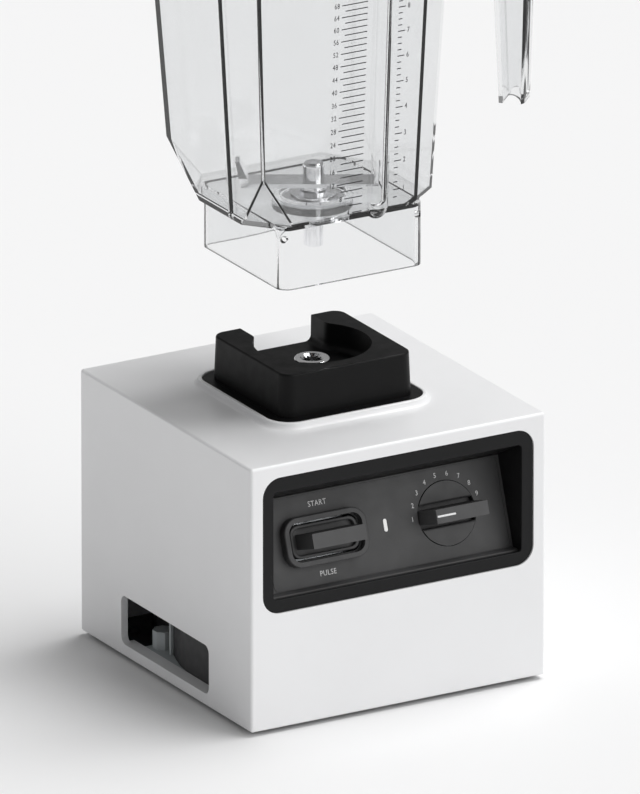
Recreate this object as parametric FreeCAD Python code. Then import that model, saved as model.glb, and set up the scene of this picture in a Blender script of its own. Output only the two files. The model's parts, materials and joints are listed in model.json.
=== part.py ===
"""Countertop blender: a motor base with recessed controls, and a clear jar lifted off its drive socket.

Millimetres. X is to the right, -Y is the front and +Z is up. The origin is the middle of the base's
footprint at the plane the feet stand on. Each sub-part is one STEP file in parts/.
"""

import FreeCAD, Part
import math
import os

from FreeCAD import Placement, Rotation, Vector

# ---------------------------------------------------------------- driving dimensions
# Base housing
BASE_WIDTH = 205.0
BASE_DEPTH = 208.5
BASE_BOTTOM = 3.0
BASE_TOP = 171.6
BASE_WALL = 4.0
BASE_EDGE_RADIUS = 1.8
BASE_TOP_RADIUS = 1.8
FLOOR_Z = 6.5
SCREW_X = 92.0
SCREW_Y = 88.0
FOOT_X = 80.0
FOOT_Y = 78.0
FOOT_RADIUS = 9.0
FRONT = -BASE_DEPTH / 2
BACK = BASE_DEPTH / 2

# White rim that frames the rubber socket
RIM_SIZE = 111.3
RIM_RADIUS = 18.0
RIM_TOP = 175.5
RIM_FLARE = 5.0

# Side windows, their deep sill, and the guides behind them
WINDOW_FRONT = -52.7
WINDOW_BACK = 54.4
WINDOW_LOW = 10.6
WINDOW_HIGH = 41.9
WINDOW_RADIUS = 5.0
WINDOW_RETURN = 4.6
SILL_DEPTH = 9.0
GUIDE_POST_X = -84.0
GUIDE_POST_Y = 34.8
GUIDE_POST_TOP = 22.0
GUIDE_POST_ACROSS = 12.6
GUIDE_TOP = 48.0

# Cooling louvres in the back wall
LOUVRE_ROWS = 6
LOUVRE_LOW = 118.0
LOUVRE_PITCH = 7.0
LOUVRE_X = 30.0
LOUVRE_LENGTH = 50.0
LOUVRE_HEIGHT = 3.0

# Cord gland and mains terminals
GLAND_X = 62.0
GLAND_Z = 24.0
GLAND_BODY = 7.0
GLAND_FLANGE = 10.5
GLAND_PROUD = 1.5
CORD_HOLE = 3.75
TERMINAL_X = 38.0

# Control bezel: the frame's outside, its opening, and the box behind it
BEZEL_HALF_WIDTH = 94.3
BEZEL_LOW = 76.4
BEZEL_HIGH = 163.2
BEZEL_RADIUS = 12.0
BEZEL_SET_BACK = 0.8
BEZEL_THICKNESS = 2.0
OPENING_HALF_WIDTH = 86.4
OPENING_LOW = 84.6
OPENING_HIGH = 153.5
OPENING_RADIUS = 2.5
RECESS_HALF_WIDTH = 87.5
RECESS_WALL = 2.2
TRENCH_FLOOR = 80.4

# Sloping panel: the middle of its slope is where the controls sit
PANEL_TILT = 19.0
PANEL_Y = -82.56
PANEL_Z = 110.34
PANEL_THICKNESS = 3.0
PANEL_LOW_V = -30.4
PANEL_HIGH_V = 29.25
LEDGE_FRONT = -98.0
LEDGE_TOP = 84.4
OVERLAY_LEFT = -78.5
OVERLAY_RIGHT = 85.2
OVERLAY_LOW_V = -27.1
OVERLAY_HIGH_V = 27.6
OVERLAY_THICKNESS = 0.5
OVERLAY_GAP = 0.35

# Controls, in the panel's own plane
DIAL_U = 46.2
DIAL_RADIUS = 19.7
DIAL_REACH = 18.5
ROCKER_U = -40.5
ROCKER_LENGTH = 57.2
ROCKER_HEIGHT = 30.8
ROCKER_BAND = 3.3
RING_RISE = 6.2
ROCKER_REACH = 21.2
ROCKER_PIVOT_N = -4.0
ROCKER_PLATE_LENGTH = 46.4
ROCKER_PLATE_HEIGHT = 20.4
PADDLE_LENGTH = 36.7
PADDLE_HEIGHT = 9.3
INDICATOR_U = 3.2

# Rubber socket
FLANGE_SIZE = 106.0
FLANGE_RADIUS = 15.5
FLANGE_TOP = 174.9
SOCKET_BASE_SIZE = 91.5
SOCKET_TOP_SIZE = 89.8
SOCKET_RADIUS = 8.0
SOCKET_TOP = 202.4
POCKET_FLOOR = 185.2
POCKET_RADIUS = 36.0
CHANNEL_HALF_WIDTH = 25.0

# Drive: one spline, twelve teeth, so that it fits itself every thirty degrees
COUPLING_RADIUS = 11.0
COUPLING_TOP = 193.1
COUPLING_MOUTH = 7.5
SPLINE_TEETH = 12
SPLINE_TIP = 5.85
SPLINE_ROOT = 5.0
SPLINE_CLEARANCE = 0.25
SHAFT_RADIUS = 5.0
SHAFT_TOP = 175.0
RUNNING_CLEARANCE = 0.05

# Jar. Heights in the jar are measured from the lower edge of its skirt.
SKIRT_SEAT = 174.9
JAR_LIFT = 84.1
JAR_Z = SKIRT_SEAT + JAR_LIFT
SKIRT_SIZE = 100.0
SKIRT_HEIGHT = 37.0
SKIRT_RADIUS = 8.0
JAR_WALL = 3.5
JAR_HEIGHT = 228.0
JAR_DRAFT = 3.3
JAR_HALF_WIDTH = 62.6
JAR_FRONT = -49.7
JAR_BACK = 63.0
FRONT_FACET_TOP = 74.5
BACK_FACET_TOP = 67.5
FRONT_RIB_X = 17.5
SIDE_RIB_Y = -11.0
WELL_FLOOR = 34.0
WELL_RADIUS = 20.8
BOSS_BOTTOM = 30.0
BOSS_RADIUS = 24.0
STEM_RADIUS = 9.0

# Handle, in its own diagonal plane
HANDLE_BOTTOM = 111.0
HANDLE_TOP = 222.5
HANDLE_OUT = 136.5
HANDLE_IN = 117.0
HANDLE_HALF_WIDTH = 11.0
HANDLE_WALL = 3.0
ARM_UNDERSIDE = 199.0

# Blade
BLADE_NUT_LOW = 27.2
BLADE_Z = 46.0
BLADE_REST_ANGLE = -30.0

# Lid
LID_HEIGHT = 12.0
CAP_RADIUS = 21.0
SEAL_DEPTH = 4.0

# Motor, on the axis of the socket
STATOR_SIZE = 92.0
STATOR_LOW = 64.0
STATOR_HIGH = 112.0
ARMATURE_RADIUS = 26.4
AIR_GAP = 0.6
MOTOR_BOLT_OFFSET = 38.0
MOUNT_OFFSET = 46.0
LOWER_BRACKET_Z = 22.0
UPPER_BRACKET_Z = 147.0
BRUSH_Z = 131.0

# Control board
BOARD_Y = 80.0
BOARD_LOW = 58.0
BOARD_HIGH = 108.0

X_AXIS = Vector(1, 0, 0)
Y_AXIS = Vector(0, 1, 0)
Z_AXIS = Vector(0, 0, 1)
SIDES = (-1, 1)
CORNERS = [(x, y) for x in SIDES for y in SIDES]
BIG = 600.0


# ---------------------------------------------------------------- general helpers
def block(x0, x1, y0, y1, z0, z1):
    """A box between two corners."""
    return Part.makeBox(x1 - x0, y1 - y0, z1 - z0, Vector(x0, y0, z0))


def post(radius, z0, z1, x=0.0, y=0.0):
    """A vertical cylinder."""
    return Part.makeCylinder(radius, z1 - z0, Vector(x, y, z0), Z_AXIS)


def rod(radius, start, end):
    """A cylinder between two points."""
    direction = end.sub(start)
    return Part.makeCylinder(radius, direction.Length, start, direction)


def ring(outer, inner, z0, z1, x=0.0, y=0.0):
    """A vertical tube."""
    return post(outer, z0, z1, x, y).cut(post(inner, z0 - 1, z1 + 1, x, y))


def rounded_wire(width, depth, radius, z=0.0, x=0.0, y=0.0):
    """A rounded rectangle in a horizontal plane."""
    flat = Part.makePlane(width, depth, Vector(x - width / 2, y - depth / 2, z))
    solid = flat.extrude(Vector(0, 0, 1))
    upright = [e for e in solid.Edges if abs(e.tangentAt(e.FirstParameter).z) > 0.9]
    solid = solid.makeFillet(radius, upright)
    lowest = min(solid.Faces, key=lambda face: face.CenterOfMass.z)
    return lowest.OuterWire


def slab(width, depth, z0, z1, radius, x=0.0, y=0.0):
    """A rounded rectangle raised into a block."""
    return Part.Face(rounded_wire(width, depth, radius, z0, x, y)).extrude(Vector(0, 0, z1 - z0))


def prism(points, direction):
    """A closed outline of points, extruded."""
    wire = Part.makePolygon([Vector(*p) for p in points] + [Vector(*points[0])])
    return Part.Face(wire).extrude(direction)


def join(shapes):
    """One solid made of several that touch or overlap."""
    first, rest = shapes[0], shapes[1:]
    return first.multiFuse(rest).removeSplitter() if rest else first


def half_space(point, outward):
    """The block of material on the outward side of a plane."""
    side = Part.makeBox(2 * BIG, 2 * BIG, BIG, Vector(-BIG, -BIG, 0))
    side.Placement = Placement(point, Rotation(Z_AXIS, outward))
    return side


def mirrored_pair(shape):
    """A shape and its mirror image across the middle plane of the base."""
    return Part.makeCompound([shape, shape.mirror(Vector(0, 0, 0), X_AXIS)])


def edges_where(shape, test):
    """The edges whose middle point passes a test."""
    found = []
    for edge in shape.Edges:
        middle = edge.valueAt((edge.FirstParameter + edge.LastParameter) / 2)
        if test(middle, edge):
            found.append(edge)
    return found


def is_upright(edge):
    """Does the edge run up and down?"""
    ends = edge.Vertexes[-1].Point.sub(edge.Vertexes[0].Point)
    return ends.Length > 1 and abs(ends.z) / ends.Length > 0.95


def on_panel(shape):
    """Moves a shape from the panel's plane (u right, v up the slope, n outward) to its place."""
    moved = shape.copy()
    place = Placement(Vector(0, PANEL_Y, PANEL_Z), Rotation(X_AXIS, 90 - PANEL_TILT))
    moved.Placement = place.multiply(moved.Placement)
    return moved


def raise_jar(shape):
    """Moves a shape from the jar's own heights to its place above the base."""
    moved = shape.copy()
    moved.translate(Vector(0, 0, JAR_Z))
    return moved


def front_plate(half_width, low, high, radius, y0, y1):
    """A rounded rectangle seen from the front, given thickness from y0 back to y1."""
    plate = slab(2 * half_width, high - low, 0, y1 - y0, radius)
    plate.Placement = Placement(Vector(0, y1, (low + high) / 2), Rotation(X_AXIS, 90))
    return plate


def screw(x, y, z, length, radius, head_radius, head_height):
    """A screw pointing up, with its head's lower face at z and a cross recess in it."""
    body = join([post(head_radius, z, z + head_height, x, y), post(radius, z, z + length, x, y)])
    slot = 0.3 * head_radius
    reach = 0.75 * head_radius
    depth = 0.6 * head_height
    cross = join([
        block(x - slot / 2, x + slot / 2, y - reach, y + reach, z - 1, z + depth),
        block(x - reach, x + reach, y - slot / 2, y + slot / 2, z - 1, z + depth),
    ])
    return body.cut(cross)


# ---------------------------------------------------------------- base housing
def side_window(x0, x1, grow=0.0):
    """The rounded window shape, through the left or right wall."""
    width = WINDOW_BACK - WINDOW_FRONT + 2 * grow
    height = WINDOW_HIGH - WINDOW_LOW + 2 * grow
    plug = slab(height, width, 0, x1 - x0, WINDOW_RADIUS + grow)
    middle = Vector(x0, (WINDOW_FRONT + WINDOW_BACK) / 2, (WINDOW_LOW + WINDOW_HIGH) / 2)
    plug.Placement = Placement(middle, Rotation(Y_AXIS, 90))
    return plug


def rim_ring():
    """The raised rim round the socket: a swept section with a concave flank."""
    half = RIM_SIZE / 2
    foot = BASE_TOP - 1.0
    crest = 1.0
    inner = FLANGE_SIZE / 2 + 0.15
    outer_foot = half + RIM_FLARE
    points = [
        Vector(inner - 3.0, 0, foot),
        Vector(inner - 3.0, 0, FLANGE_TOP - 3.8),
        Vector(inner, 0, FLANGE_TOP - 3.8),
        Vector(inner, 0, RIM_TOP - 0.4),
        Vector(inner + 0.4, 0, RIM_TOP),
        Vector(half - crest, 0, RIM_TOP),
    ]
    lines = [Part.LineSegment(a, b).toShape() for a, b in zip(points, points[1:])]
    crown = Part.Arc(points[-1], Vector(half - 0.3 * crest, 0, RIM_TOP - 0.3 * crest),
                     Vector(half, 0, RIM_TOP - crest)).toShape()
    flank_top = Vector(half, 0, RIM_TOP - crest)
    flank_mid = Vector(half + 0.22 * RIM_FLARE, 0, BASE_TOP + 0.85)
    flank_foot = Vector(outer_foot, 0, BASE_TOP)
    flank = Part.Arc(flank_top, flank_mid, flank_foot).toShape()
    closing = [
        Part.LineSegment(flank_foot, Vector(outer_foot, 0, foot)).toShape(),
        Part.LineSegment(Vector(outer_foot, 0, foot), points[0]).toShape(),
    ]
    section = Part.Wire(Part.__sortEdges__(lines + [crown, flank] + closing))
    straight = RIM_SIZE / 2 - RIM_RADIUS
    pieces = []
    for turn in range(4):
        side = Part.Face(section).extrude(Vector(0, 2 * straight, 0))
        side.translate(Vector(0, -straight, 0))
        corner = Part.Face(section).copy()
        corner.translate(Vector(0, straight, 0))
        corner = corner.revolve(Vector(straight, straight, 0), Z_AXIS, 90)
        for piece in (side, corner):
            piece.rotate(Vector(0, 0, 0), Z_AXIS, 90 * turn)
            pieces.append(piece)
    return join(pieces)


def make_base_shell():
    """White one-piece housing: four walls and a top, open underneath."""
    outer = slab(BASE_WIDTH, BASE_DEPTH, BASE_BOTTOM, BASE_TOP, BASE_EDGE_RADIUS)
    outer = outer.makeFillet(BASE_TOP_RADIUS, edges_where(outer, lambda p, e: abs(p.z - BASE_TOP) < 0.01))
    outer = outer.makeChamfer(0.8, edges_where(outer, lambda p, e: abs(p.z - BASE_BOTTOM) < 0.01))
    inner = slab(BASE_WIDTH - 2 * BASE_WALL, BASE_DEPTH - 2 * BASE_WALL, BASE_BOTTOM - 1,
                 BASE_TOP - BASE_WALL, 2.0)
    shell = outer.cut(inner)
    shell = shell.fuse(rim_ring())
    # seat for the socket's flange, and the opening that the drive comes up through
    shell = shell.cut(slab(FLANGE_SIZE + 0.3, FLANGE_SIZE + 0.3, FLANGE_TOP - 4.0, RIM_TOP + 1,
                           FLANGE_RADIUS + 0.15))
    shell = shell.cut(slab(80, 80, BASE_TOP - BASE_WALL - 1, RIM_TOP + 1, 8))
    # window returns, then the windows
    wall_inside = BASE_WIDTH / 2 - BASE_WALL
    for side in SIDES:
        low = min(side * (BASE_WIDTH / 2 - WINDOW_RETURN), side * (wall_inside + 0.5))
        high = max(side * (BASE_WIDTH / 2 - WINDOW_RETURN), side * (wall_inside + 0.5))
        shell = shell.fuse(side_window(low, high, grow=2.2))
        sill_low, sill_high = sorted((side * (BASE_WIDTH / 2 - SILL_DEPTH), side * (BASE_WIDTH / 2 - 2.0)))
        shell = shell.fuse(block(sill_low, sill_high, WINDOW_FRONT, WINDOW_BACK,
                                 WINDOW_LOW - 2.2, WINDOW_LOW))
    for side in SIDES:
        low, high = sorted((side * (BASE_WIDTH / 2 - 12), side * (BASE_WIDTH / 2 + 1)))
        shell = shell.cut(side_window(low, high))
    # opening for the control bezel
    opening = front_plate(BEZEL_HALF_WIDTH + 0.15, BEZEL_LOW - 0.15, BEZEL_HIGH + 0.15,
                          BEZEL_RADIUS + 0.15, FRONT - 1, FRONT + BEZEL_SET_BACK + BEZEL_THICKNESS)
    throat = front_plate(BEZEL_HALF_WIDTH - 4.0, BEZEL_LOW + 1.2, BEZEL_HIGH - 4.0,
                         BEZEL_RADIUS - 7.0, FRONT - 1, FRONT + BASE_WALL + 1)
    shell = shell.cut(opening).cut(throat)
    # screw posts in the four corners
    for x, y in CORNERS:
        px, py = x * SCREW_X, y * SCREW_Y
        boss = post(5.0, FLOOR_Z, 30.0, px, py)
        web = block(min(px, x * (wall_inside + 0.5)), max(px, x * (wall_inside + 0.5)),
                    py - 1.5, py + 1.5, FLOOR_Z, 30.0)
        shell = shell.fuse(join([boss, web])).cut(post(1.7, FLOOR_Z - 1, 24.0, px, py))
    # hole for the cord gland, with a seat for its flange
    shell = shell.cut(rod(GLAND_BODY, Vector(GLAND_X, BACK - 8, GLAND_Z),
                          Vector(GLAND_X, BACK + 1, GLAND_Z)))
    shell = shell.cut(rod(GLAND_FLANGE + 0.1, Vector(GLAND_X, BACK - 2, GLAND_Z),
                          Vector(GLAND_X, BACK + 1, GLAND_Z)))
    # louvres that let cooling air in at the back
    for row in range(LOUVRE_ROWS):
        z = LOUVRE_LOW + row * LOUVRE_PITCH
        for column in SIDES:
            slot = slab(LOUVRE_LENGTH, LOUVRE_HEIGHT, 0, 12, LOUVRE_HEIGHT / 2 - 0.01)
            slot.Placement = Placement(Vector(column * LOUVRE_X, BACK + 1, z), Rotation(X_AXIS, 90))
            shell = shell.cut(slot)
    return shell.removeSplitter()


def make_base_plate():
    """Black bottom plate with ribs, foot seats and screw holes."""
    plate = slab(BASE_WIDTH - 2 * BASE_WALL - 0.6, BASE_DEPTH - 2 * BASE_WALL - 0.6,
                 BASE_BOTTOM + 0.3, FLOOR_Z - 0.1, 1.8)
    for x, y in CORNERS:
        plate = plate.cut(post(1.9, 0, 10, x * SCREW_X, y * SCREW_Y))
        plate = plate.cut(post(4.1, 0, BASE_BOTTOM + 2.0, x * SCREW_X, y * SCREW_Y))
        plate = plate.cut(post(3.0, 0, 10, x * FOOT_X, y * FOOT_Y))
        plate = plate.fuse(ring(9.5, 8.0, FLOOR_Z - 0.2, FLOOR_Z + 3.0, x * MOUNT_OFFSET, y * MOUNT_OFFSET))
    for y in (-60.0, 60.0):
        plate = plate.fuse(block(-60, 60, y - 1.2, y + 1.2, FLOOR_Z - 0.2, FLOOR_Z + 6.0))
    return plate.removeSplitter()


def make_feet():
    """Four rubber feet pushed into the bottom plate."""
    feet = []
    for x, y in CORNERS:
        px, py = x * FOOT_X, y * FOOT_Y
        pad = post(FOOT_RADIUS, 0, BASE_BOTTOM + 0.3, px, py)
        pad = pad.makeFillet(1.0, edges_where(pad, lambda p, e: abs(p.z) < 0.01))
        stem = post(3.0, BASE_BOTTOM, FLOOR_Z, px, py)
        barb = Part.makeCone(3.8, 2.2, 2.4, Vector(px, py, FLOOR_Z - 0.1), Z_AXIS)
        feet.append(join([pad, stem, barb]))
    return Part.makeCompound(feet)


def make_base_screws():
    """Four cross-recess screws that hold the bottom plate."""
    return Part.makeCompound([
        screw(x * SCREW_X, y * SCREW_Y, BASE_BOTTOM + 0.4, 16.0, 1.7, 3.8, 1.6) for x, y in CORNERS])


def guide_curve():
    """Plan of the guide behind the left window, from its front end to its upright edge."""
    inner = -BASE_WIDTH / 2 + SILL_DEPTH
    return [(inner, WINDOW_FRONT + 2.0), (inner, -9.0), (inner + 2.0, 2.0),
            (inner + 5.0, 12.0), (inner + 7.6, 19.5)]


def make_air_guide():
    """Light grey guide behind a window: a low shelf, an upright edge and an eight-sided post."""
    curve = guide_curve()
    inner, tip = curve[0][0], curve[-1]
    rear = GUIDE_POST_Y + GUIDE_POST_ACROSS / 2
    plan = curve + [(tip[0], tip[1] + 2.0), (GUIDE_POST_X + 5.0, rear - 2.0),
                    (GUIDE_POST_X + 5.0, rear), (inner, rear)]
    shelf = prism([(x + 0.05, y, FLOOR_Z) for x, y in plan[1:]], Vector(0, 0, WINDOW_LOW - FLOOR_Z))
    edge = block(tip[0] - 1.8, tip[0], tip[1], tip[1] + 2.0, FLOOR_Z, GUIDE_TOP)
    flat = GUIDE_POST_ACROSS / 2
    corner = flat * math.tan(math.radians(22.5))
    plan = [(flat, corner), (corner, flat), (-corner, flat), (-flat, corner),
            (-flat, -corner), (-corner, -flat), (corner, -flat), (flat, -corner)]
    column = prism([(GUIDE_POST_X + px, GUIDE_POST_Y + py, FLOOR_Z) for px, py in plan],
                   Vector(0, 0, GUIDE_POST_TOP - FLOOR_Z))
    return join([shelf, edge, column])


def make_intake_wall():
    """Black wall that turns the air upward behind a window."""
    thickness = 1.6
    curve = guide_curve()
    tip = curve[-1]
    path = curve + [(tip[0] + 0.3, tip[1] + 2.3), (GUIDE_POST_X + 8.0, tip[1] + 5.0),
                    (GUIDE_POST_X + 8.0, WINDOW_BACK + 3.0)]
    near = [(x + 0.15, y) for x, y in path]
    far = [(x + 0.15 + thickness, y - 0.4) for x, y in path]
    return prism([(x, y, FLOOR_Z) for x, y in near + far[::-1]], Vector(0, 0, GUIDE_TOP - FLOOR_Z))


# ---------------------------------------------------------------- controls
def on_slope(v, n):
    """A point of the panel's plane in side view, as (Y, Z)."""
    tilt = math.radians(PANEL_TILT)
    y = PANEL_Y + v * math.sin(tilt) - n * math.cos(tilt)
    z = PANEL_Z + v * math.cos(tilt) + n * math.sin(tilt)
    return (y, z)


def side_profile(points, half_width):
    """A closed (Y, Z) outline extruded across the base."""
    return prism([(-half_width, y, z) for y, z in points], Vector(2 * half_width, 0, 0))


def recess_space():
    """The space of the recess: a sloping ceiling, the panel's seat and a trench along the bottom."""
    start = FRONT + BEZEL_SET_BACK + BEZEL_THICKNESS - 0.2
    seat = -PANEL_THICKNESS - 2.2
    top, bottom = PANEL_HIGH_V + 0.1, PANEL_LOW_V - 0.1
    trench_back = on_slope(bottom, 0)[0]
    outline = [
        (start, OPENING_HIGH),
        on_slope(top, 0),
        on_slope(top, seat),
        on_slope(bottom, seat),
        on_slope(bottom, 0),
        (trench_back, TRENCH_FLOOR),
        (start, TRENCH_FLOOR),
    ]
    return side_profile(outline, RECESS_HALF_WIDTH)


def make_control_bezel():
    """Black frame set in the front, with the deep sloping box that holds the panel."""
    face_front = FRONT + BEZEL_SET_BACK
    face_back = face_front + BEZEL_THICKNESS
    face = front_plate(BEZEL_HALF_WIDTH, BEZEL_LOW, BEZEL_HIGH, BEZEL_RADIUS, face_front, face_back)
    seat = -PANEL_THICKNESS - 2.2
    top, bottom = PANEL_HIGH_V + 0.1 + RECESS_WALL, PANEL_LOW_V - 0.1 - RECESS_WALL
    outline = [
        (face_back - 0.5, OPENING_HIGH + RECESS_WALL + 0.3),
        on_slope(top + 0.4, 0),
        on_slope(top, seat),
        on_slope(bottom, seat),
        (face_back - 0.5, TRENCH_FLOOR - RECESS_WALL),
    ]
    walls = side_profile(outline, RECESS_HALF_WIDTH + RECESS_WALL)
    walls = walls.common(front_plate(RECESS_HALF_WIDTH + RECESS_WALL, TRENCH_FLOOR - RECESS_WALL,
                                     BEZEL_HIGH, 4.4, FRONT, 0))
    bezel = join([face, walls])
    opening = front_plate(OPENING_HALF_WIDTH, OPENING_LOW, OPENING_HIGH, OPENING_RADIUS,
                          face_front - 1, face_back + 0.5)
    bezel = bezel.cut(recess_space()).cut(opening)
    bezel = bezel.makeFillet(0.5, edges_where(bezel, lambda p, e: abs(p.y - face_front) < 0.01))
    # ledge under the panel
    ledge = on_panel(slab(2 * BIG, 2 * BIG, seat, -PANEL_THICKNESS - 0.2, 1.0))
    ledge = ledge.common(recess_space())
    middle = (PANEL_HIGH_V + PANEL_LOW_V) / 2
    hole = on_panel(slab(2 * RECESS_HALF_WIDTH - 9.0, PANEL_HIGH_V - PANEL_LOW_V - 8.0,
                         -12, 6, 4.0, 0, middle))
    bezel = bezel.fuse(ledge.cut(hole))
    for u, v in panel_screw_places():
        bezel = bezel.cut(on_panel(post(1.6, -10, 3, u, v)))
    return bezel.removeSplitter()


def panel_screw_places():
    """Where the four panel screws go, in the panel's plane."""
    u = RECESS_HALF_WIDTH - 2.6
    return [(sign * u, v) for sign in SIDES for v in (PANEL_LOW_V + 8.0, PANEL_HIGH_V - 8.0)]


def control_holes(grow):
    """The holes in the panel for the dial, the rocker and the indicator."""
    rocker_length = ROCKER_LENGTH - 2 * ROCKER_BAND + 2 * grow
    rocker_height = ROCKER_HEIGHT - 2 * ROCKER_BAND + 2 * grow
    return join([
        post(DIAL_RADIUS + 0.5 + grow, -10, 10, DIAL_U, 0),
        slab(rocker_length, rocker_height, -10, 10, 6.5 + grow, ROCKER_U, 0),
        slab(2.4 + 2 * grow, 8.0 + 2 * grow, -10, 10, 1.19 + grow, INDICATOR_U, 0),
    ])


def overlay_block(grow, n0, n1):
    """The rounded outline of the panel's overlay."""
    width = OVERLAY_RIGHT - OVERLAY_LEFT + 2 * grow
    height = OVERLAY_HIGH_V - OVERLAY_LOW_V + 2 * grow
    return slab(width, height, n0, n1, 3.0 + grow, (OVERLAY_RIGHT + OVERLAY_LEFT) / 2,
                (OVERLAY_HIGH_V + OVERLAY_LOW_V) / 2)


def make_control_panel():
    """Dark sloping panel with a shelf along its lower edge and a shallow pocket for the overlay."""
    half_width = RECESS_HALF_WIDTH - 0.2
    plate = block(-half_width, half_width, PANEL_LOW_V, PANEL_HIGH_V, -PANEL_THICKNESS, 0)
    top_edge = edges_where(plate, lambda p, e: abs(p.z) < 0.01 and abs(p.y - PANEL_HIGH_V) < 0.01)
    plate = plate.makeFillet(0.8, top_edge)
    plate = plate.cut(overlay_block(OVERLAY_GAP, -OVERLAY_THICKNESS, 1))
    plate = on_panel(plate.cut(control_holes(0.0)))
    low, deep = on_slope(OVERLAY_LOW_V - OVERLAY_GAP, -0.5), on_slope(PANEL_LOW_V, -0.6)
    shelf = side_profile([(LEDGE_FRONT, LEDGE_TOP - 1.4), (LEDGE_FRONT, LEDGE_TOP), low, deep], half_width)
    front_edge = edges_where(shelf, lambda p, e: abs(p.y - LEDGE_FRONT) < 0.01
                             and p.z > LEDGE_TOP - 0.1 and e.Length > 100)
    shelf = shelf.makeFillet(0.8, front_edge)
    panel = join([plate, shelf])
    for u, v in panel_screw_places():
        panel = panel.cut(on_panel(post(1.2, -10, -0.9, u, v)))
    return panel


def make_control_overlay():
    """Thin printed sheet that covers the panel, cut out round the controls."""
    return on_panel(overlay_block(0.0, -OVERLAY_THICKNESS, 0).cut(control_holes(0.0)))


def make_panel_screws():
    """Four small screws from behind that hold the panel to the bezel's ledge."""
    back = -PANEL_THICKNESS - 2.2 - 1.2
    screws = [screw(u, v, back, 4.9, 1.2, 2.4, 1.2) for u, v in panel_screw_places()]
    return Part.makeCompound([on_panel(each) for each in screws])


def make_rocker_ring():
    """Raised rounded frame round the rocker, with ears behind the panel that carry its pin."""
    outer = slab(ROCKER_LENGTH, ROCKER_HEIGHT, 0.0, RING_RISE, 10.0, ROCKER_U, 0)
    outer = outer.makeFillet(1.0, edges_where(outer, lambda p, e: abs(p.z - RING_RISE) < 0.01))
    sleeve = slab(ROCKER_LENGTH - 2 * ROCKER_BAND - 0.2, ROCKER_HEIGHT - 2 * ROCKER_BAND - 0.2,
                  -7.5, 0.5, 6.4, ROCKER_U, 0)
    frame = join([outer, sleeve])
    window = slab(ROCKER_LENGTH - 2 * ROCKER_BAND - 2.4, ROCKER_HEIGHT - 2 * ROCKER_BAND - 1.2,
                  -10, 8, 5.6, ROCKER_U, 0)
    window_top = slab(ROCKER_LENGTH - 2 * ROCKER_BAND, ROCKER_HEIGHT - 2 * ROCKER_BAND, 1.0, 8, 6.5,
                      ROCKER_U, 0)
    frame = frame.cut(window).cut(window_top)
    half = ROCKER_LENGTH / 2
    frame = frame.cut(rod(1.5, Vector(ROCKER_U - half + 2.0, 0, ROCKER_PIVOT_N),
                          Vector(ROCKER_U + half - 2.0, 0, ROCKER_PIVOT_N)))
    return on_panel(frame)


def make_rocker_pin():
    """Steel pin that the rocker tips on."""
    reach = (ROCKER_LENGTH - 2 * ROCKER_BAND) / 2 - 0.4
    return on_panel(rod(1.5, Vector(ROCKER_U - reach, 0, ROCKER_PIVOT_N),
                        Vector(ROCKER_U + reach, 0, ROCKER_PIVOT_N)))


def make_rocker():
    """Rocker: a dished plate with a standing paddle and a tail that works the switch."""
    plate = slab(ROCKER_PLATE_LENGTH, ROCKER_PLATE_HEIGHT, -6.5, 3.0, 5.5, ROCKER_U, 0)
    dish = slab(ROCKER_PLATE_LENGTH - 4.0, ROCKER_PLATE_HEIGHT - 4.0, -0.5, 6, 4.0, ROCKER_U, 0)
    plate = plate.cut(dish)
    plate = plate.makeFillet(0.7, edges_where(plate, lambda p, e: abs(p.z - 3.0) < 0.01))
    paddle = slab(PADDLE_LENGTH, PADDLE_HEIGHT, -1.0, ROCKER_REACH, 0.6, ROCKER_U + 0.3, 0)
    tail = slab(6.0, 5.0, -9.0, -6.0, 1.0, ROCKER_U, 0)
    whole = join([plate, paddle, tail])
    whole = whole.cut(rod(1.5 + RUNNING_CLEARANCE, Vector(ROCKER_U - 40, 0, ROCKER_PIVOT_N),
                          Vector(ROCKER_U + 40, 0, ROCKER_PIVOT_N)))
    return on_panel(whole)


def make_rocker_switch():
    """Three-position switch block behind the rocker, with its blade terminals."""
    body = slab(44.0, 19.0, -24.5, -12.5, 1.5, ROCKER_U, 0)
    cradle = slab(44.0, 19.0, -12.6, -9.0, 1.5, ROCKER_U, 0)
    cradle = cradle.cut(slab(38.0, 15.5, -12.0, -7, 1.0, ROCKER_U, 0))
    terminals = [block(ROCKER_U + u - 0.4, ROCKER_U + u + 0.4, -3.0, 3.0, -29.0, -24.0)
                 for u in (-14, 0, 14)]
    return on_panel(join([body, cradle] + terminals))


def make_speed_dial():
    """Round dial with a sunken channel and a grip bar across it, on a flatted stem."""
    channel_half = 7.2
    face_n = 0.6
    floor_n = -4.4
    segments = []
    for side in SIDES:
        low, high = sorted((side * channel_half, side * 30.0))
        segment = block(-30, 30, low, high, floor_n - 0.1, face_n)
        lip = edges_where(segment, lambda p, e: abs(p.z - face_n) < 0.01
                          and abs(abs(p.y) - channel_half) < 0.01)
        segments.append(segment.makeFillet(1.3, lip))
    disc = join([post(DIAL_RADIUS, -6.0, floor_n)] + segments).common(post(DIAL_RADIUS, -6.0, face_n))
    half_bar = 4.45
    bar_end = 19.2
    bar = prism([(-bar_end, -half_bar, -5.0), (bar_end, -half_bar, -5.0),
                 (bar_end, -half_bar, DIAL_REACH), (-bar_end + 1.9, -half_bar, DIAL_REACH)],
                Vector(0, 2 * half_bar, 0))
    bar = bar.makeFillet(0.5, edges_where(bar, lambda p, e: abs(p.z - DIAL_REACH) < 0.01))
    stem = post(3.0, -24.0, -5.0).cut(block(1.8, 5, -5, 5, -24.5, -12.0))
    dial = join([disc, bar, stem])
    dial.translate(Vector(DIAL_U, 0, 0))
    return on_panel(dial)


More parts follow.
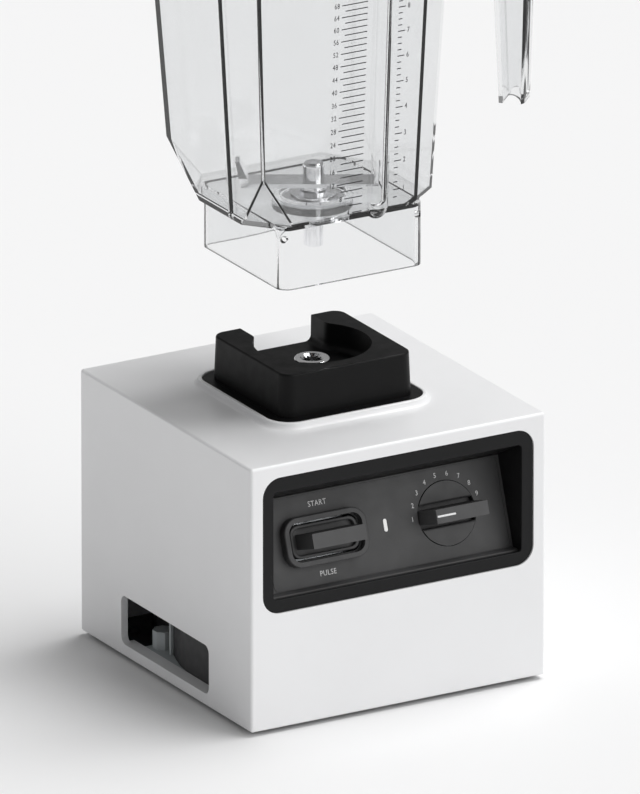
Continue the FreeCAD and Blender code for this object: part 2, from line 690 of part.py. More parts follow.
def make_speed_sensor():
    """Rotary control that the dial's stem turns, with its threaded bush and three terminals."""
    can = post(12.0, -25.0, -13.0, DIAL_U, 0)
    bush = post(5.0, -13.2, -7.0, DIAL_U, 0)
    terminals = [block(DIAL_U + u - 0.7, DIAL_U + u + 0.7, -18.0, -10.0, -22.0, -21.2) for u in (-5, 0, 5)]
    whole = join([can, bush] + terminals)
    return on_panel(whole.cut(post(3.0 + RUNNING_CLEARANCE, -24.6, -6, DIAL_U, 0)))


def make_control_bracket():
    """Pressed bracket behind the panel that carries the switch and the speed control."""
    left, right = -77.0, 80.0
    plate = slab(right - left, 30.0, -12.5, -11.0, 3.0, (left + right) / 2, 0)
    plate = plate.cut(slab(45.0, 20.0, -20, 0, 2.0, ROCKER_U, 0))
    plate = plate.cut(post(5.1, -20, 0, DIAL_U, 0))
    whole = [plate]
    for u in (left, right - 8.0):
        whole.append(block(u, u + 8.0, -12, 12, -11.6, -PANEL_THICKNESS))
    return on_panel(join(whole))


def make_sensor_nut():
    """Thin hexagonal nut on the speed control's bush."""
    across = 5.8
    plan = [(across * math.cos(math.radians(60 * i)), across * math.sin(math.radians(60 * i)))
            for i in range(6)]
    nut = prism([(DIAL_U + x, y, -11.0) for x, y in plan], Vector(0, 0, 2.0))
    nut = nut.fuse(ring(6.6, 5.0, -11.0, -10.5, DIAL_U, 0))
    return on_panel(nut.cut(post(5.0, -20, 0, DIAL_U, 0)))


def make_indicator_lens():
    """White pill-shaped light pipe in the panel."""
    pill = slab(2.2, 7.8, -PANEL_THICKNESS, 0.35, 1.09, INDICATOR_U, 0)
    flange = slab(4.4, 10.0, -PANEL_THICKNESS - 1.2, -PANEL_THICKNESS, 1.6, INDICATOR_U, 0)
    return on_panel(join([pill, flange]))


def make_indicator_led():
    """Small round lamp behind the light pipe."""
    tip = Part.makeSphere(1.5, Vector(INDICATOR_U, 0, -6.2))
    body = post(1.5, -9.5, -6.2, INDICATOR_U, 0)
    collar = post(1.9, -10.4, -9.4, INDICATOR_U, 0)
    return on_panel(join([tip, body, collar]))


# ---------------------------------------------------------------- socket and drive
def make_jar_socket():
    """Black rubber socket: a flange, a tapered block and a round pocket open to the back."""
    flange = slab(FLANGE_SIZE, FLANGE_SIZE, FLANGE_TOP - 3.8, FLANGE_TOP, FLANGE_RADIUS)
    flange = flange.makeFillet(0.8, edges_where(flange, lambda p, e: abs(p.z - FLANGE_TOP) < 0.01))
    low = rounded_wire(SOCKET_BASE_SIZE, SOCKET_BASE_SIZE, SOCKET_RADIUS, FLANGE_TOP - 0.5)
    high = rounded_wire(SOCKET_TOP_SIZE, SOCKET_TOP_SIZE, SOCKET_RADIUS, SOCKET_TOP)
    tower = Part.makeLoft([low, high], True, True)
    tower = tower.makeFillet(1.2, edges_where(tower, lambda p, e: abs(p.z - SOCKET_TOP) < 0.01))
    pocket = post(POCKET_RADIUS, POCKET_FLOOR, SOCKET_TOP + 5)
    pocket = pocket.fuse(block(-CHANNEL_HALF_WIDTH, CHANNEL_HALF_WIDTH, 0, 80,
                               POCKET_FLOOR, SOCKET_TOP + 5))
    pocket = pocket.removeSplitter()
    corner_y = math.sqrt(POCKET_RADIUS ** 2 - CHANNEL_HALF_WIDTH ** 2)
    blend = edges_where(pocket, lambda p, e: is_upright(e) and abs(p.y - corner_y) < 0.5)
    pocket = pocket.makeFillet(10.0, blend)
    foot = edges_where(pocket, lambda p, e: abs(p.z - POCKET_FLOOR) < 0.01 and p.y < 79)
    pocket = pocket.makeFillet(4.0, foot)
    tower = tower.cut(pocket)
    neck = slab(79.4, 79.4, BASE_TOP - BASE_WALL, FLANGE_TOP - 3.0, 7.7)
    whole = join([flange, tower, neck])
    # the drive coupling turns in a clear hole; the underside is cored out to an even wall
    whole = whole.cut(post(COUPLING_RADIUS + 0.8, BASE_TOP - 20, POCKET_FLOOR + 1))
    core = ring(POCKET_RADIUS - 3.0, COUPLING_RADIUS + 5.0, BASE_TOP - 20, POCKET_FLOOR - 4.0)
    return whole.cut(core)


def spline(tip, root, tooth_degrees, z0, z1):
    """A straight-sided spline with its teeth centred on the X axis."""
    pitch = 360.0 / SPLINE_TEETH
    solid = post(root, z0, z1)
    half_width = root * math.sin(math.radians(tooth_degrees / 2))
    for tooth in range(SPLINE_TEETH):
        bar = block(0.5 * root, tip + 1, -half_width, half_width, z0, z1)
        bar = bar.common(post(tip, z0, z1))
        bar.rotate(Vector(0, 0, 0), Z_AXIS, tooth * pitch)
        solid = solid.fuse(bar)
    return solid.removeSplitter()


def make_drive_coupling():
    """Chrome coupling with the internal spline that the jar's shaft drops into."""
    foot = UPPER_BRACKET_Z + 15.0
    pocket_floor = 181.0
    hub = post(COUPLING_RADIUS, foot, COUPLING_TOP)
    hub = hub.makeFillet(1.0, edges_where(hub, lambda p, e: abs(p.z - COUPLING_TOP) < 0.01))
    inside = spline(SPLINE_TIP + SPLINE_CLEARANCE, SPLINE_ROOT + SPLINE_CLEARANCE, 17.0,
                    pocket_floor, COUPLING_TOP + 1)
    hub = hub.cut(inside)
    mouth_depth = 1.6
    mouth = Part.makeCone(SPLINE_ROOT + 0.4, COUPLING_MOUTH + 0.3, mouth_depth + 0.2,
                          Vector(0, 0, COUPLING_TOP - mouth_depth), Z_AXIS)
    hub = hub.cut(mouth)
    groove = ring(COUPLING_RADIUS + 1, COUPLING_RADIUS - 1.2, foot + 4.0, foot + 6.5)
    return hub.cut(groove).cut(post(SHAFT_RADIUS, foot - 1, SHAFT_TOP))


def make_rotor_shaft():
    """Motor shaft, from the lower bearing up into the coupling."""
    shaft = post(SHAFT_RADIUS, LOWER_BRACKET_Z + 1.0, SHAFT_TOP)
    return shaft.makeChamfer(0.5, edges_where(shaft, lambda p, e: p.z < 30))


def make_armature():
    """Laminated armature with twelve winding slots."""
    core = post(ARMATURE_RADIUS, STATOR_LOW + 2, STATOR_HIGH - 2)
    slots = 12
    for index in range(slots):
        slot = join([post(3.0, STATOR_LOW, STATOR_HIGH, ARMATURE_RADIUS - 6.5, 0),
                     block(ARMATURE_RADIUS - 6.5, ARMATURE_RADIUS + 1, -1.1, 1.1, STATOR_LOW, STATOR_HIGH)])
        slot.rotate(Vector(0, 0, 0), Z_AXIS, index * 360 / slots)
        core = core.cut(slot)
    return core.cut(post(SHAFT_RADIUS, 0, 200))


def make_armature_windings():
    """Copper end turns above and below the armature."""
    turns = []
    for z0, z1 in ((STATOR_LOW - 9, STATOR_LOW + 2), (STATOR_HIGH - 2, STATOR_HIGH + 9)):
        bundle = ring(23.0, 9.0, z0, z1)
        bundle = bundle.makeFillet(3.0, edges_where(bundle, lambda p, e: abs(p.x) > 15 or abs(p.y) > 15))
        turns.append(bundle)
    return Part.makeCompound(turns)


def make_commutator():
    """Copper commutator, slotted into bars."""
    body = ring(15.0, SHAFT_RADIUS, 122.0, 141.0)
    bars = 24
    for index in range(bars):
        slot = block(12.0, 16.0, -0.35, 0.35, 121.0, 142.0)
        slot.rotate(Vector(0, 0, 0), Z_AXIS, index * 360 / bars)
        body = body.cut(slot)
    return body


def make_cooling_fan():
    """Radial fan under the motor: a back plate, a hub and curved-back blades."""
    plate = ring(40.0, SHAFT_RADIUS, 44.0, 46.0)
    hub = ring(10.0, SHAFT_RADIUS, 33.0, 46.0)
    blades = []
    count = 10
    for index in range(count):
        blade = ring(34.0, 32.4, 33.0, 44.5, 22.0, 24.0)
        blade = blade.common(block(2, 40, -12, 16, 33.0, 44.5)).common(ring(39.5, 9.0, 33.0, 44.5))
        blade.rotate(Vector(0, 0, 0), Z_AXIS, index * 360 / count)
        blades.append(blade)
    return join([plate, hub] + blades)


# ---------------------------------------------------------------- motor frame
def make_stator():
    """Square laminated stator with a two-pole bore and four bolt holes."""
    core = slab(STATOR_SIZE, STATOR_SIZE, STATOR_LOW, STATOR_HIGH, 10.0)
    core = core.cut(post(ARMATURE_RADIUS + AIR_GAP, 0, 200))
    for side in SIDES:
        pocket = slab(18.0, 40.0, STATOR_LOW - 1, STATOR_HIGH + 1, 5.0, side * 30.0, 0)
        core = core.cut(pocket)
    for x, y in CORNERS:
        core = core.cut(post(2.6, 0, 200, x * MOTOR_BOLT_OFFSET, y * MOTOR_BOLT_OFFSET))
    return core


def make_field_coils():
    """Two copper field coils through the stator's pockets."""
    coils = []
    for side in SIDES:
        loop = slab(11.0, 34.0, STATOR_LOW - 10, STATOR_HIGH + 10, 4.0, side * 32.5, 0)
        loop = loop.makeFillet(3.0, edges_where(
            loop, lambda p, e: abs(p.z - STATOR_LOW + 10) < 0.01 or abs(p.z - STATOR_HIGH - 10) < 0.01))
        coils.append(loop)
    return Part.makeCompound(coils)


def bearing_bracket(z, boss_low, boss_high, seat_low, seat_high):
    """A four-armed aluminium bracket with a bearing seat."""
    arms = []
    for turn in (45, 135):
        arm = slab(118.0, 16.0, z, z + 5.0, 7.9)
        arm.rotate(Vector(0, 0, 0), Z_AXIS, turn)
        arms.append(arm)
    body = join(arms + [post(20.0, z, z + 5.0), post(16.0, boss_low, boss_high)])
    body = body.cut(post(13.0, seat_low, seat_high)).cut(post(8.0, boss_low - 1, boss_high + 1))
    for x, y in CORNERS:
        body = body.cut(post(2.6, z - 1, z + 6, x * MOTOR_BOLT_OFFSET, y * MOTOR_BOLT_OFFSET))
    return body


def make_lower_bracket():
    """Bracket under the stator, with its bearing seat."""
    return bearing_bracket(LOWER_BRACKET_Z, LOWER_BRACKET_Z, LOWER_BRACKET_Z + 9.0,
                           LOWER_BRACKET_Z + 1.0, LOWER_BRACKET_Z + 10.0)


def make_upper_bracket():
    """Bracket over the stator, with its bearing seat."""
    return bearing_bracket(UPPER_BRACKET_Z, UPPER_BRACKET_Z, UPPER_BRACKET_Z + 9.0,
                           UPPER_BRACKET_Z + 1.0, UPPER_BRACKET_Z + 10.0)


def ball_bearing(z):
    """A shielded ball bearing, whole, with a running bore."""
    body = ring(13.0, SHAFT_RADIUS + RUNNING_CLEARANCE, z, z + 8.0)
    return body.cut(ring(11.0, 7.2, z + 7.4, z + 9)).cut(ring(11.0, 7.2, z - 1, z + 0.6))


def make_motor_bearings():
    """The two bearings that carry the motor's shaft."""
    return Part.makeCompound([ball_bearing(LOWER_BRACKET_Z + 1.0), ball_bearing(UPPER_BRACKET_Z + 1.0)])


def make_through_bolts():
    """Four long bolts that clamp the stator between the brackets."""
    bolts = []
    for x, y in CORNERS:
        px, py = x * MOTOR_BOLT_OFFSET, y * MOTOR_BOLT_OFFSET
        shank = post(2.5, LOWER_BRACKET_Z, UPPER_BRACKET_Z + 9.0, px, py)
        head = post(4.5, LOWER_BRACKET_Z - 3.5, LOWER_BRACKET_Z, px, py)
        nut = post(4.5, UPPER_BRACKET_Z + 5.0, UPPER_BRACKET_Z + 8.5, px, py)
        bolts.append(join([shank, head, nut]))
    return Part.makeCompound(bolts)


def make_stator_spacers():
    """Eight sleeves on the through bolts that hold the stator at its height."""
    sleeves = []
    for x, y in CORNERS:
        px, py = x * MOTOR_BOLT_OFFSET, y * MOTOR_BOLT_OFFSET
        sleeves.append(ring(5.0, 2.6, LOWER_BRACKET_Z + 5.0, STATOR_LOW, px, py))
        sleeves.append(ring(5.0, 2.6, STATOR_HIGH, UPPER_BRACKET_Z, px, py))
    return Part.makeCompound(sleeves)


def make_motor_mounts():
    """Four rubber blocks that carry the motor on the bottom plate."""
    mounts = []
    for x, y in CORNERS:
        px, py = x * MOUNT_OFFSET, y * MOUNT_OFFSET
        body = post(7.9, FLOOR_Z - 0.1, LOWER_BRACKET_Z, px, py)
        waist = ring(9.0, 6.2, 12.5, 16.5, px, py)
        relief = post(5.2, LOWER_BRACKET_Z - 4.0, LOWER_BRACKET_Z + 1,
                      x * MOTOR_BOLT_OFFSET, y * MOTOR_BOLT_OFFSET)
        mounts.append(body.cut(waist).cut(relief))
    return Part.makeCompound(mounts)


def make_brush_holders():
    """Two insulating brush holders carried by the upper bracket."""
    holders = []
    for side in SIDES:
        body = block(17.0, 42.0, -6.5, 6.5, BRUSH_Z - 7.0, BRUSH_Z + 7.0)
        body = body.cut(block(16.0, 40.0, -3.6, 3.6, BRUSH_Z - 4.6, BRUSH_Z + 4.6))
        stalk = block(34.0, 42.0, -6.5, 6.5, BRUSH_Z + 6.5, UPPER_BRACKET_Z + 5.0)
        plate = join([body, stalk])
        plate.rotate(Vector(0, 0, 0), Z_AXIS, 90 + 90 * side)
        holders.append(plate)
    return Part.makeCompound(holders)


def make_carbon_brushes():
    """Two carbon brushes that touch the commutator."""
    brushes = []
    for side in SIDES:
        brush = block(14.0, 30.0, -3.5, 3.5, BRUSH_Z - 4.5, BRUSH_Z + 4.5).cut(post(15.06, 100, 160))
        brush.rotate(Vector(0, 0, 0), Z_AXIS, 90 + 90 * side)
        brushes.append(brush)
    return Part.makeCompound(brushes)


def make_brush_springs():
    """Two springs behind the brushes, drawn as sleeves with a groove between each pair of coils."""
    springs = []
    coils = 5
    pitch = 1.8
    for side in SIDES:
        coil = ring(3.0, 2.1, 0, coils * pitch + 0.4)
        for index in range(coils):
            coil = coil.cut(ring(4.0, 2.6, 0.6 + index * pitch, 1.6 + index * pitch))
        coil.Placement = Placement(Vector(30.2, 0, BRUSH_Z), Rotation(Y_AXIS, 90))
        coil.rotate(Vector(0, 0, 0), Z_AXIS, 90 + 90 * side)
        springs.append(coil)
    return Part.makeCompound(springs)


def make_air_baffle():
    """Flat tray over the fan that keeps warm air out of the upper housing."""
    tray = slab(150.0, 150.0, 49.0, 51.0, 6.0)
    tray = tray.cut(post(31.0, 40, 60))
    skirt = ring(43.5, 42.0, 30.0, 50.0)
    for side in SIDES:
        skirt = skirt.cut(block(side * 60 - 30, side * 60 + 30, -34, 34, 29, 48))
    tray = tray.fuse(skirt)
    for x, y in CORNERS:
        tray = tray.cut(post(5.4, 40, 60, x * MOTOR_BOLT_OFFSET, y * MOTOR_BOLT_OFFSET))
        tray = tray.fuse(post(3.5, FLOOR_Z - 0.1, 50.0, x * 68.0, y * 68.0))
    return tray.removeSplitter()


# ---------------------------------------------------------------- electrics
def make_control_board():
    """Circuit board on the back wall."""
    board = block(-50, 50, BOARD_Y, BOARD_Y + 1.6, BOARD_LOW, BOARD_HIGH)
    for x in (-46.0, 46.0):
        for z in (BOARD_LOW + 4, BOARD_HIGH - 4):
            board = board.cut(rod(1.6, Vector(x, BOARD_Y - 1, z), Vector(x, BOARD_Y + 3, z)))
    return board


def make_board_pillars():
    """Four pillars with screws that hold the board off the back wall."""
    pillars = []
    for x in (-46.0, 46.0):
        for z in (BOARD_LOW + 4, BOARD_HIGH - 4):
            pillar = rod(3.5, Vector(x, BOARD_Y + 1.6, z), Vector(x, BACK - BASE_WALL, z))
            stud = rod(1.5, Vector(x, BOARD_Y - 1.0, z), Vector(x, BOARD_Y + 4, z))
            head = rod(2.8, Vector(x, BOARD_Y - 2.2, z), Vector(x, BOARD_Y, z))
            pillars.append(join([pillar, stud, head]))
    return Part.makeCompound(pillars)


def make_heat_sink():
    """Finned aluminium heat sink for the power switch."""
    base = block(14, 42, BOARD_Y - 5, BOARD_Y - 2, 64, 98)
    fins = [block(14 + i * 4.4, 15.6 + i * 4.4, BOARD_Y - 22, BOARD_Y - 4, 64, 98) for i in range(7)]
    legs = [block(x, x + 2, BOARD_Y - 5, BOARD_Y, 66, 68) for x in (16, 38)]
    return join([base] + fins + legs)


def make_power_switch_chip():
    """Power semiconductor clamped under the heat sink."""
    body = block(23, 33, BOARD_Y - 2, BOARD_Y - 0.4, 74, 90)
    pins = [block(x - 0.4, x + 0.4, BOARD_Y - 1.4, BOARD_Y, 66, 74.5) for x in (25.5, 28, 30.5)]
    return join([body] + pins)


def make_suppression_capacitor():
    """Box capacitor across the mains terminals."""
    body = block(-12, 6, BOARD_Y - 14, BOARD_Y, 70, 96)
    return body.makeFillet(1.0, body.Edges)


def make_choke():
    """Wound ring choke on the board."""
    body = Part.makeTorus(9.0, 4.0, Vector(-30, BOARD_Y - 4.4, 82), Y_AXIS)
    foot = block(-38, -22, BOARD_Y - 1.2, BOARD_Y, 72, 92)
    return join([body, foot])


def make_terminal_block():
    """Two-way mains terminal block beside the gland."""
    body = block(TERMINAL_X - 12, TERMINAL_X + 12, 66, 78, FLOOR_Z - 0.1, FLOOR_Z + 14)
    for x in (TERMINAL_X - 6, TERMINAL_X + 6):
        body = body.cut(rod(2.4, Vector(x, 64, 15), Vector(x, 80, 15)))
        body = body.cut(post(2.2, 14, 30, x, 72))
    return body


def make_cord_gland():
    """Black cord gland: a domed flange and a body through the wall."""
    outside = BACK + GLAND_PROUD
    flange = rod(GLAND_FLANGE, Vector(GLAND_X, BACK - 2, GLAND_Z), Vector(GLAND_X, outside, GLAND_Z))
    flange = flange.makeFillet(1.2, edges_where(flange, lambda p, e: abs(p.y - outside) < 0.01))
    body = rod(GLAND_BODY, Vector(GLAND_X, BACK - 14, GLAND_Z), Vector(GLAND_X, BACK - 1, GLAND_Z))
    hole = rod(CORD_HOLE, Vector(GLAND_X, BACK - 20, GLAND_Z), Vector(GLAND_X, BACK + 5, GLAND_Z))
    return join([flange, body]).cut(hole)


def make_gland_nut():
    """Hexagonal nut that clamps the gland from inside."""
    across = 11.5
    points = []
    for index in range(6):
        angle = math.radians(60 * index)
        x = GLAND_X + across * math.cos(angle)
        z = GLAND_Z + across * math.sin(angle)
        points.append((x, BACK - BASE_WALL, z))
    nut = prism(points, Vector(0, -5, 0))
    return nut.cut(rod(GLAND_BODY, Vector(GLAND_X, BACK - 20, GLAND_Z), Vector(GLAND_X, BACK + 1, GLAND_Z)))


# ---------------------------------------------------------------- jar
def drafted(x, y, z, slope_x, slope_y):
    """A point on a drafted wall, at another height."""
    lean = math.tan(math.radians(JAR_DRAFT)) * (z - SKIRT_HEIGHT)
    return Vector(x + slope_x * lean, y + slope_y * lean, z)


def jar_planes():
    """The jar's outer faces as (point, outward normal): four drafted walls and the facets at its foot."""
    draft = math.radians(JAR_DRAFT)
    out, down = math.cos(draft), -math.sin(draft)
    foot = SKIRT_HEIGHT
    left, right = -JAR_HALF_WIDTH, JAR_HALF_WIDTH
    planes = [
        (Vector(0, JAR_FRONT, foot), Vector(0, -out, down)),
        (Vector(0, JAR_BACK, foot), Vector(0, out, down)),
        (Vector(left, 0, foot), Vector(-out, 0, down)),
        (Vector(right, 0, foot), Vector(out, 0, down)),
    ]
    # facets under three corners: each runs from a point up the corner to two points on the foot
    facets = [
        (drafted(left, JAR_FRONT, FRONT_FACET_TOP, -1, -1),
         Vector(left, -23, foot), Vector(-40.5, JAR_FRONT, foot)),
        (drafted(left, JAR_BACK, BACK_FACET_TOP, -1, 1),
         Vector(left, 28, foot), Vector(-40, JAR_BACK, foot)),
        (drafted(right, JAR_BACK, BACK_FACET_TOP, 1, 1),
         Vector(right, 28, foot), Vector(40, JAR_BACK, foot)),
    ]
    inside = Vector(0, 0, 120)
    for a, b, c in facets:
        normal = b.sub(a).cross(c.sub(a)).normalize()
        if normal.dot(a.sub(inside)) < 0:
            normal = normal.negative()
        planes.append((a, normal))
    # the fifth wall: a drafted chamfer on the corner that carries the handle, and the bevel at its foot
    across = Vector(0.62, -0.78, 0).normalize()
    chamfer = Vector(across.x * out, across.y * out, down)
    planes.append((Vector(52.5, -43.0, foot), chamfer))
    bevel = Vector(across.x * 0.62, across.y * 0.62, -0.785).normalize()
    planes.append((Vector(47.0, -39.0, foot), bevel))
    return planes


def jar_block(inset, z0, z1):
    """The jar's outer form between two heights, with every wall moved in by the inset."""
    body = Part.makeBox(BIG, BIG, z1 - z0, Vector(-BIG / 2, -BIG / 2, z0))
    for point, normal in jar_planes():
        moved = point.sub(Vector(normal).multiply(inset))
        body = body.cut(half_space(moved, normal))
    return body


def jar_rib(radius, sunk, x, y, slope_x, slope_y, z0, z1):
    """A round rib that follows a drafted wall, with a round lower end."""
    foot = drafted(x, y, z0, slope_x, slope_y).sub(Vector(slope_x * sunk, slope_y * sunk, 0))
    head = drafted(x, y, z1, slope_x, slope_y).sub(Vector(slope_x * sunk, slope_y * sunk, 0))
    return join([rod(radius, foot, head), Part.makeSphere(radius, foot)])


def jar_cavity():
    """The space inside the jar, with the well for the blade's bearing."""
    floor_top = SKIRT_HEIGHT + 4.0
    inside = jar_block(JAR_WALL, floor_top, JAR_HEIGHT + 5)
    well = post(WELL_RADIUS, WELL_FLOOR, floor_top + 5)
    front_groove = jar_rib(4.5, 5.0, FRONT_RIB_X, JAR_FRONT, 0, -1, floor_top + 6, JAR_HEIGHT + 5)
    return join([inside, well, front_groove])


def make_jar_shell():
    """Clear five-sided jar with its square skirt, ribs and rim, moulded in one."""
    body = jar_block(0.0, SKIRT_HEIGHT, JAR_HEIGHT)
    rim = jar_block(-2.5, JAR_HEIGHT - 5.0, JAR_HEIGHT)
    skirt = slab(SKIRT_SIZE, SKIRT_SIZE, 0, SKIRT_HEIGHT + 3.0, SKIRT_RADIUS)
    hollow = slab(SKIRT_SIZE - 2 * JAR_WALL, SKIRT_SIZE - 2 * JAR_WALL, -1, SKIRT_HEIGHT,
                  SKIRT_RADIUS - JAR_WALL)
    boss = post(BOSS_RADIUS, BOSS_BOTTOM, SKIRT_HEIGHT + 1)
    front_rib = jar_rib(8.0, 5.0, FRONT_RIB_X, JAR_FRONT, 0, -1, SKIRT_HEIGHT + 5.5, JAR_HEIGHT - 3)
    side_rib = jar_rib(4.0, 2.6, -JAR_HALF_WIDTH, SIDE_RIB_Y, -1, 0, SKIRT_HEIGHT + 3.0, JAR_HEIGHT - 3)
    jar = join([body, rim, skirt.cut(hollow), boss, front_rib, side_rib])
    jar = jar.cut(jar_cavity())
    # inside of the skirt stays clear of the front rib's round end
    jar = jar.cut(slab(SKIRT_SIZE - 2 * JAR_WALL, SKIRT_SIZE - 2 * JAR_WALL, -1, BOSS_BOTTOM,
                       SKIRT_RADIUS - JAR_WALL))
    jar = jar.cut(post(STEM_RADIUS + 0.05, 0, 60))
    corner = SKIRT_SIZE / 2 - SKIRT_RADIUS + SKIRT_RADIUS * math.sqrt(0.5)
    for side in SIDES:
        outward = Vector(side, -1, 0)
        spot = Vector(side * corner, -corner, 32.0)
        inside = spot.sub(Vector(outward).multiply(6))
        outside = spot.add(Vector(outward).multiply(4))
        jar = jar.cut(rod(2.0, inside, outside))
    return raise_jar(jar.removeSplitter())


def handle_form(inset, bottom):
    """The handle's form in its own diagonal plane: a tapered grip and an arm towards the jar."""
    taper = 1.8
    outer_low = HANDLE_OUT - 1.5 * taper - inset
    outer_high = HANDLE_OUT - inset
    inner_low = HANDLE_IN + taper + inset
    inner_high = HANDLE_IN - taper + inset
    top = HANDLE_TOP - inset
    under = ARM_UNDERSIDE + inset
    outer_bend = 26.0 - inset
    inner_bend = 12.0 + inset
    near = 55.0
    turn = math.sqrt(0.5)
    grip_out = Vector(outer_high, 0, top - outer_bend)
    arm_out = Vector(outer_high - outer_bend, 0, top)
    bend_out = Vector(outer_high - outer_bend * (1 - turn), 0, top - outer_bend * (1 - turn))
    arm_in = Vector(inner_high - inner_bend, 0, under)
    grip_in = Vector(inner_high, 0, under - inner_bend)
    bend_in = Vector(inner_high - inner_bend * (1 - turn), 0, under - inner_bend * (1 - turn))
    outline = [
        Part.LineSegment(Vector(outer_low, 0, bottom), grip_out).toShape(),
        Part.Arc(grip_out, bend_out, arm_out).toShape(),
        Part.LineSegment(arm_out, Vector(near, 0, top)).toShape(),
        Part.LineSegment(Vector(near, 0, top), Vector(near, 0, under)).toShape(),
        Part.LineSegment(Vector(near, 0, under), arm_in).toShape(),
        Part.Arc(arm_in, bend_in, grip_in).toShape(),
        Part.LineSegment(grip_in, Vector(inner_low, 0, bottom)).toShape(),
        Part.LineSegment(Vector(inner_low, 0, bottom), Vector(outer_low, 0, bottom)).toShape(),
    ]
    side = Part.Face(Part.Wire(outline)).extrude(Vector(0, 60, 0))
    side.translate(Vector(0, -30, 0))
    low_half = HANDLE_HALF_WIDTH - 0.8 - inset
    high_half = HANDLE_HALF_WIDTH - inset
    front = prism([(0, -low_half, bottom), (0, low_half, bottom), (0, high_half, HANDLE_TOP),
                   (0, -high_half, HANDLE_TOP)], Vector(200, 0, 0))
    return side.common(front)


def make_jar_handle():
    """Clear hollow handle, open at its lower end, bonded to the jar's chamfered corner."""
    body = handle_form(0.0, HANDLE_BOTTOM)
    long_edges = edges_where(body, lambda p, e: p.x > HANDLE_OUT - 12 and abs(p.y) > 6
                             and p.z > HANDLE_BOTTOM + 1 and e.Length > 15)
    body = body.makeFillet(4.0, long_edges)
    hollow = handle_form(HANDLE_WALL, HANDLE_BOTTOM - 20)
    arch_s = (HANDLE_OUT + HANDLE_IN) / 2
    arch = rod(5.6, Vector(arch_s, -30, HANDLE_BOTTOM), Vector(arch_s, 30, HANDLE_BOTTOM))
    hollow.rotate(Vector(0, 0, 0), Z_AXIS, -45)
    hollow = hollow.cut(jar_block(-HANDLE_WALL, SKIRT_HEIGHT, JAR_HEIGHT + 5))
    body = body.cut(arch)
    body.rotate(Vector(0, 0, 0), Z_AXIS, -45)
    handle = body.cut(hollow).cut(jar_block(0.0, SKIRT_HEIGHT, JAR_HEIGHT + 5))
    return raise_jar(handle)


# ---------------------------------------------------------------- blade set
def make_bearing_housing():
    """Stepped housing that seals the jar's floor and carries the blade's shaft."""
    body = join([
        post(19.8, WELL_FLOOR, WELL_FLOOR + 4.6),
        post(14.5, WELL_FLOOR + 4.0, WELL_FLOOR + 7.0),
        post(STEM_RADIUS, BLADE_NUT_LOW, WELL_FLOOR + 8.5),
    ])
    rounding = edges_where(body, lambda p, e: abs(p.z - WELL_FLOOR - 4.6) < 0.01
                           and math.hypot(p.x, p.y) > 15)
    body = body.makeFillet(1.6, rounding)
    body = body.cut(post(7.5, BLADE_NUT_LOW - 1, WELL_FLOOR + 5.5))
    return raise_jar(body.cut(post(SHAFT_RADIUS + 0.5, 0, 60)))


def make_blade_bearing():
    """Sleeve bearing inside the housing."""
    return raise_jar(ring(7.5, SHAFT_RADIUS + RUNNING_CLEARANCE, BLADE_NUT_LOW, WELL_FLOOR + 3.5))


def make_shaft_seal():
    """Rubber lip seal above the sleeve bearing."""
    return raise_jar(ring(7.5, SHAFT_RADIUS + RUNNING_CLEARANCE, WELL_FLOOR + 3.5, WELL_FLOOR + 5.5))


def make_housing_nut():
    """Flanged nut under the jar's floor."""
    across = 13.5
    plan = [(across * math.cos(math.radians(60 * i)), across * math.sin(math.radians(60 * i)))
            for i in range(6)]
    nut = prism([(x, y, BLADE_NUT_LOW) for x, y in plan], Vector(0, 0, BOSS_BOTTOM - BLADE_NUT_LOW))
    return raise_jar(nut.cut(post(STEM_RADIUS, 0, 60)))


def make_blade_shaft():
    """Blade shaft with the spline at its lower end."""
    shaft = join([spline(SPLINE_TIP, SPLINE_ROOT, 13.0, 7.0, 26.0), post(SHAFT_RADIUS, 25.0, 52.0)])
    return raise_jar(shaft.makeChamfer(0.4, edges_where(shaft, lambda p, e: abs(p.z - 52.0) < 0.01)))


def make_blade():
    """Flat bar blade with two turned-up wings and ground leading edges."""
    thickness = 2.6
    half_span = 40.0
    half_width = 9.0
    wing_height = 14.0
    lean = 4.5
    bar = slab(2 * half_span, 2 * half_width, BLADE_Z, BLADE_Z + thickness, 2.0)
    wings = []
    for side in SIDES:
        wing = prism([
            (half_span - 3.5, -half_width, BLADE_Z), (half_span + 1.0, -half_width, BLADE_Z),
            (half_span + lean, -half_width, BLADE_Z + wing_height),
            (half_span + lean - thickness, -half_width, BLADE_Z + wing_height),
            (half_span - 3.5, -half_width, BLADE_Z + thickness + 1.5),
        ], Vector(0, 2 * half_width, 0))
        outline = [
            (0, -half_width, BLADE_Z - 1),
            (0, half_width, BLADE_Z - 1),
            (0, half_width, BLADE_Z + 6),
            (0, 0.5, BLADE_Z + wing_height + 1),
            (0, -half_width, BLADE_Z + wing_height + 1),
        ]
        taper = prism(outline, Vector(60, 0, 0))
        wing = wing.common(taper)
        wing.rotate(Vector(0, 0, 0), Z_AXIS, 90 - 90 * side)
        wings.append(wing)
    blade = join([bar] + wings)
    for side in SIDES:
        edge = prism([(8, -half_width - 1, BLADE_Z - 1), (8, -half_width + 4.0, BLADE_Z - 1),
                      (8, -half_width - 1, BLADE_Z + 1.7)], Vector(half_span + 20, 0, 0))
        edge.rotate(Vector(0, 0, 0), Z_AXIS, 90 - 90 * side)
        blade = blade.cut(edge)
    collar = post(8.0, BLADE_Z - 2.6, BLADE_Z + 0.1)
    blade = join([blade, collar]).cut(post(SHAFT_RADIUS, 0, 100))
    blade.rotate(Vector(0, 0, 0), Z_AXIS, BLADE_REST_ANGLE)
    return raise_jar(blade)


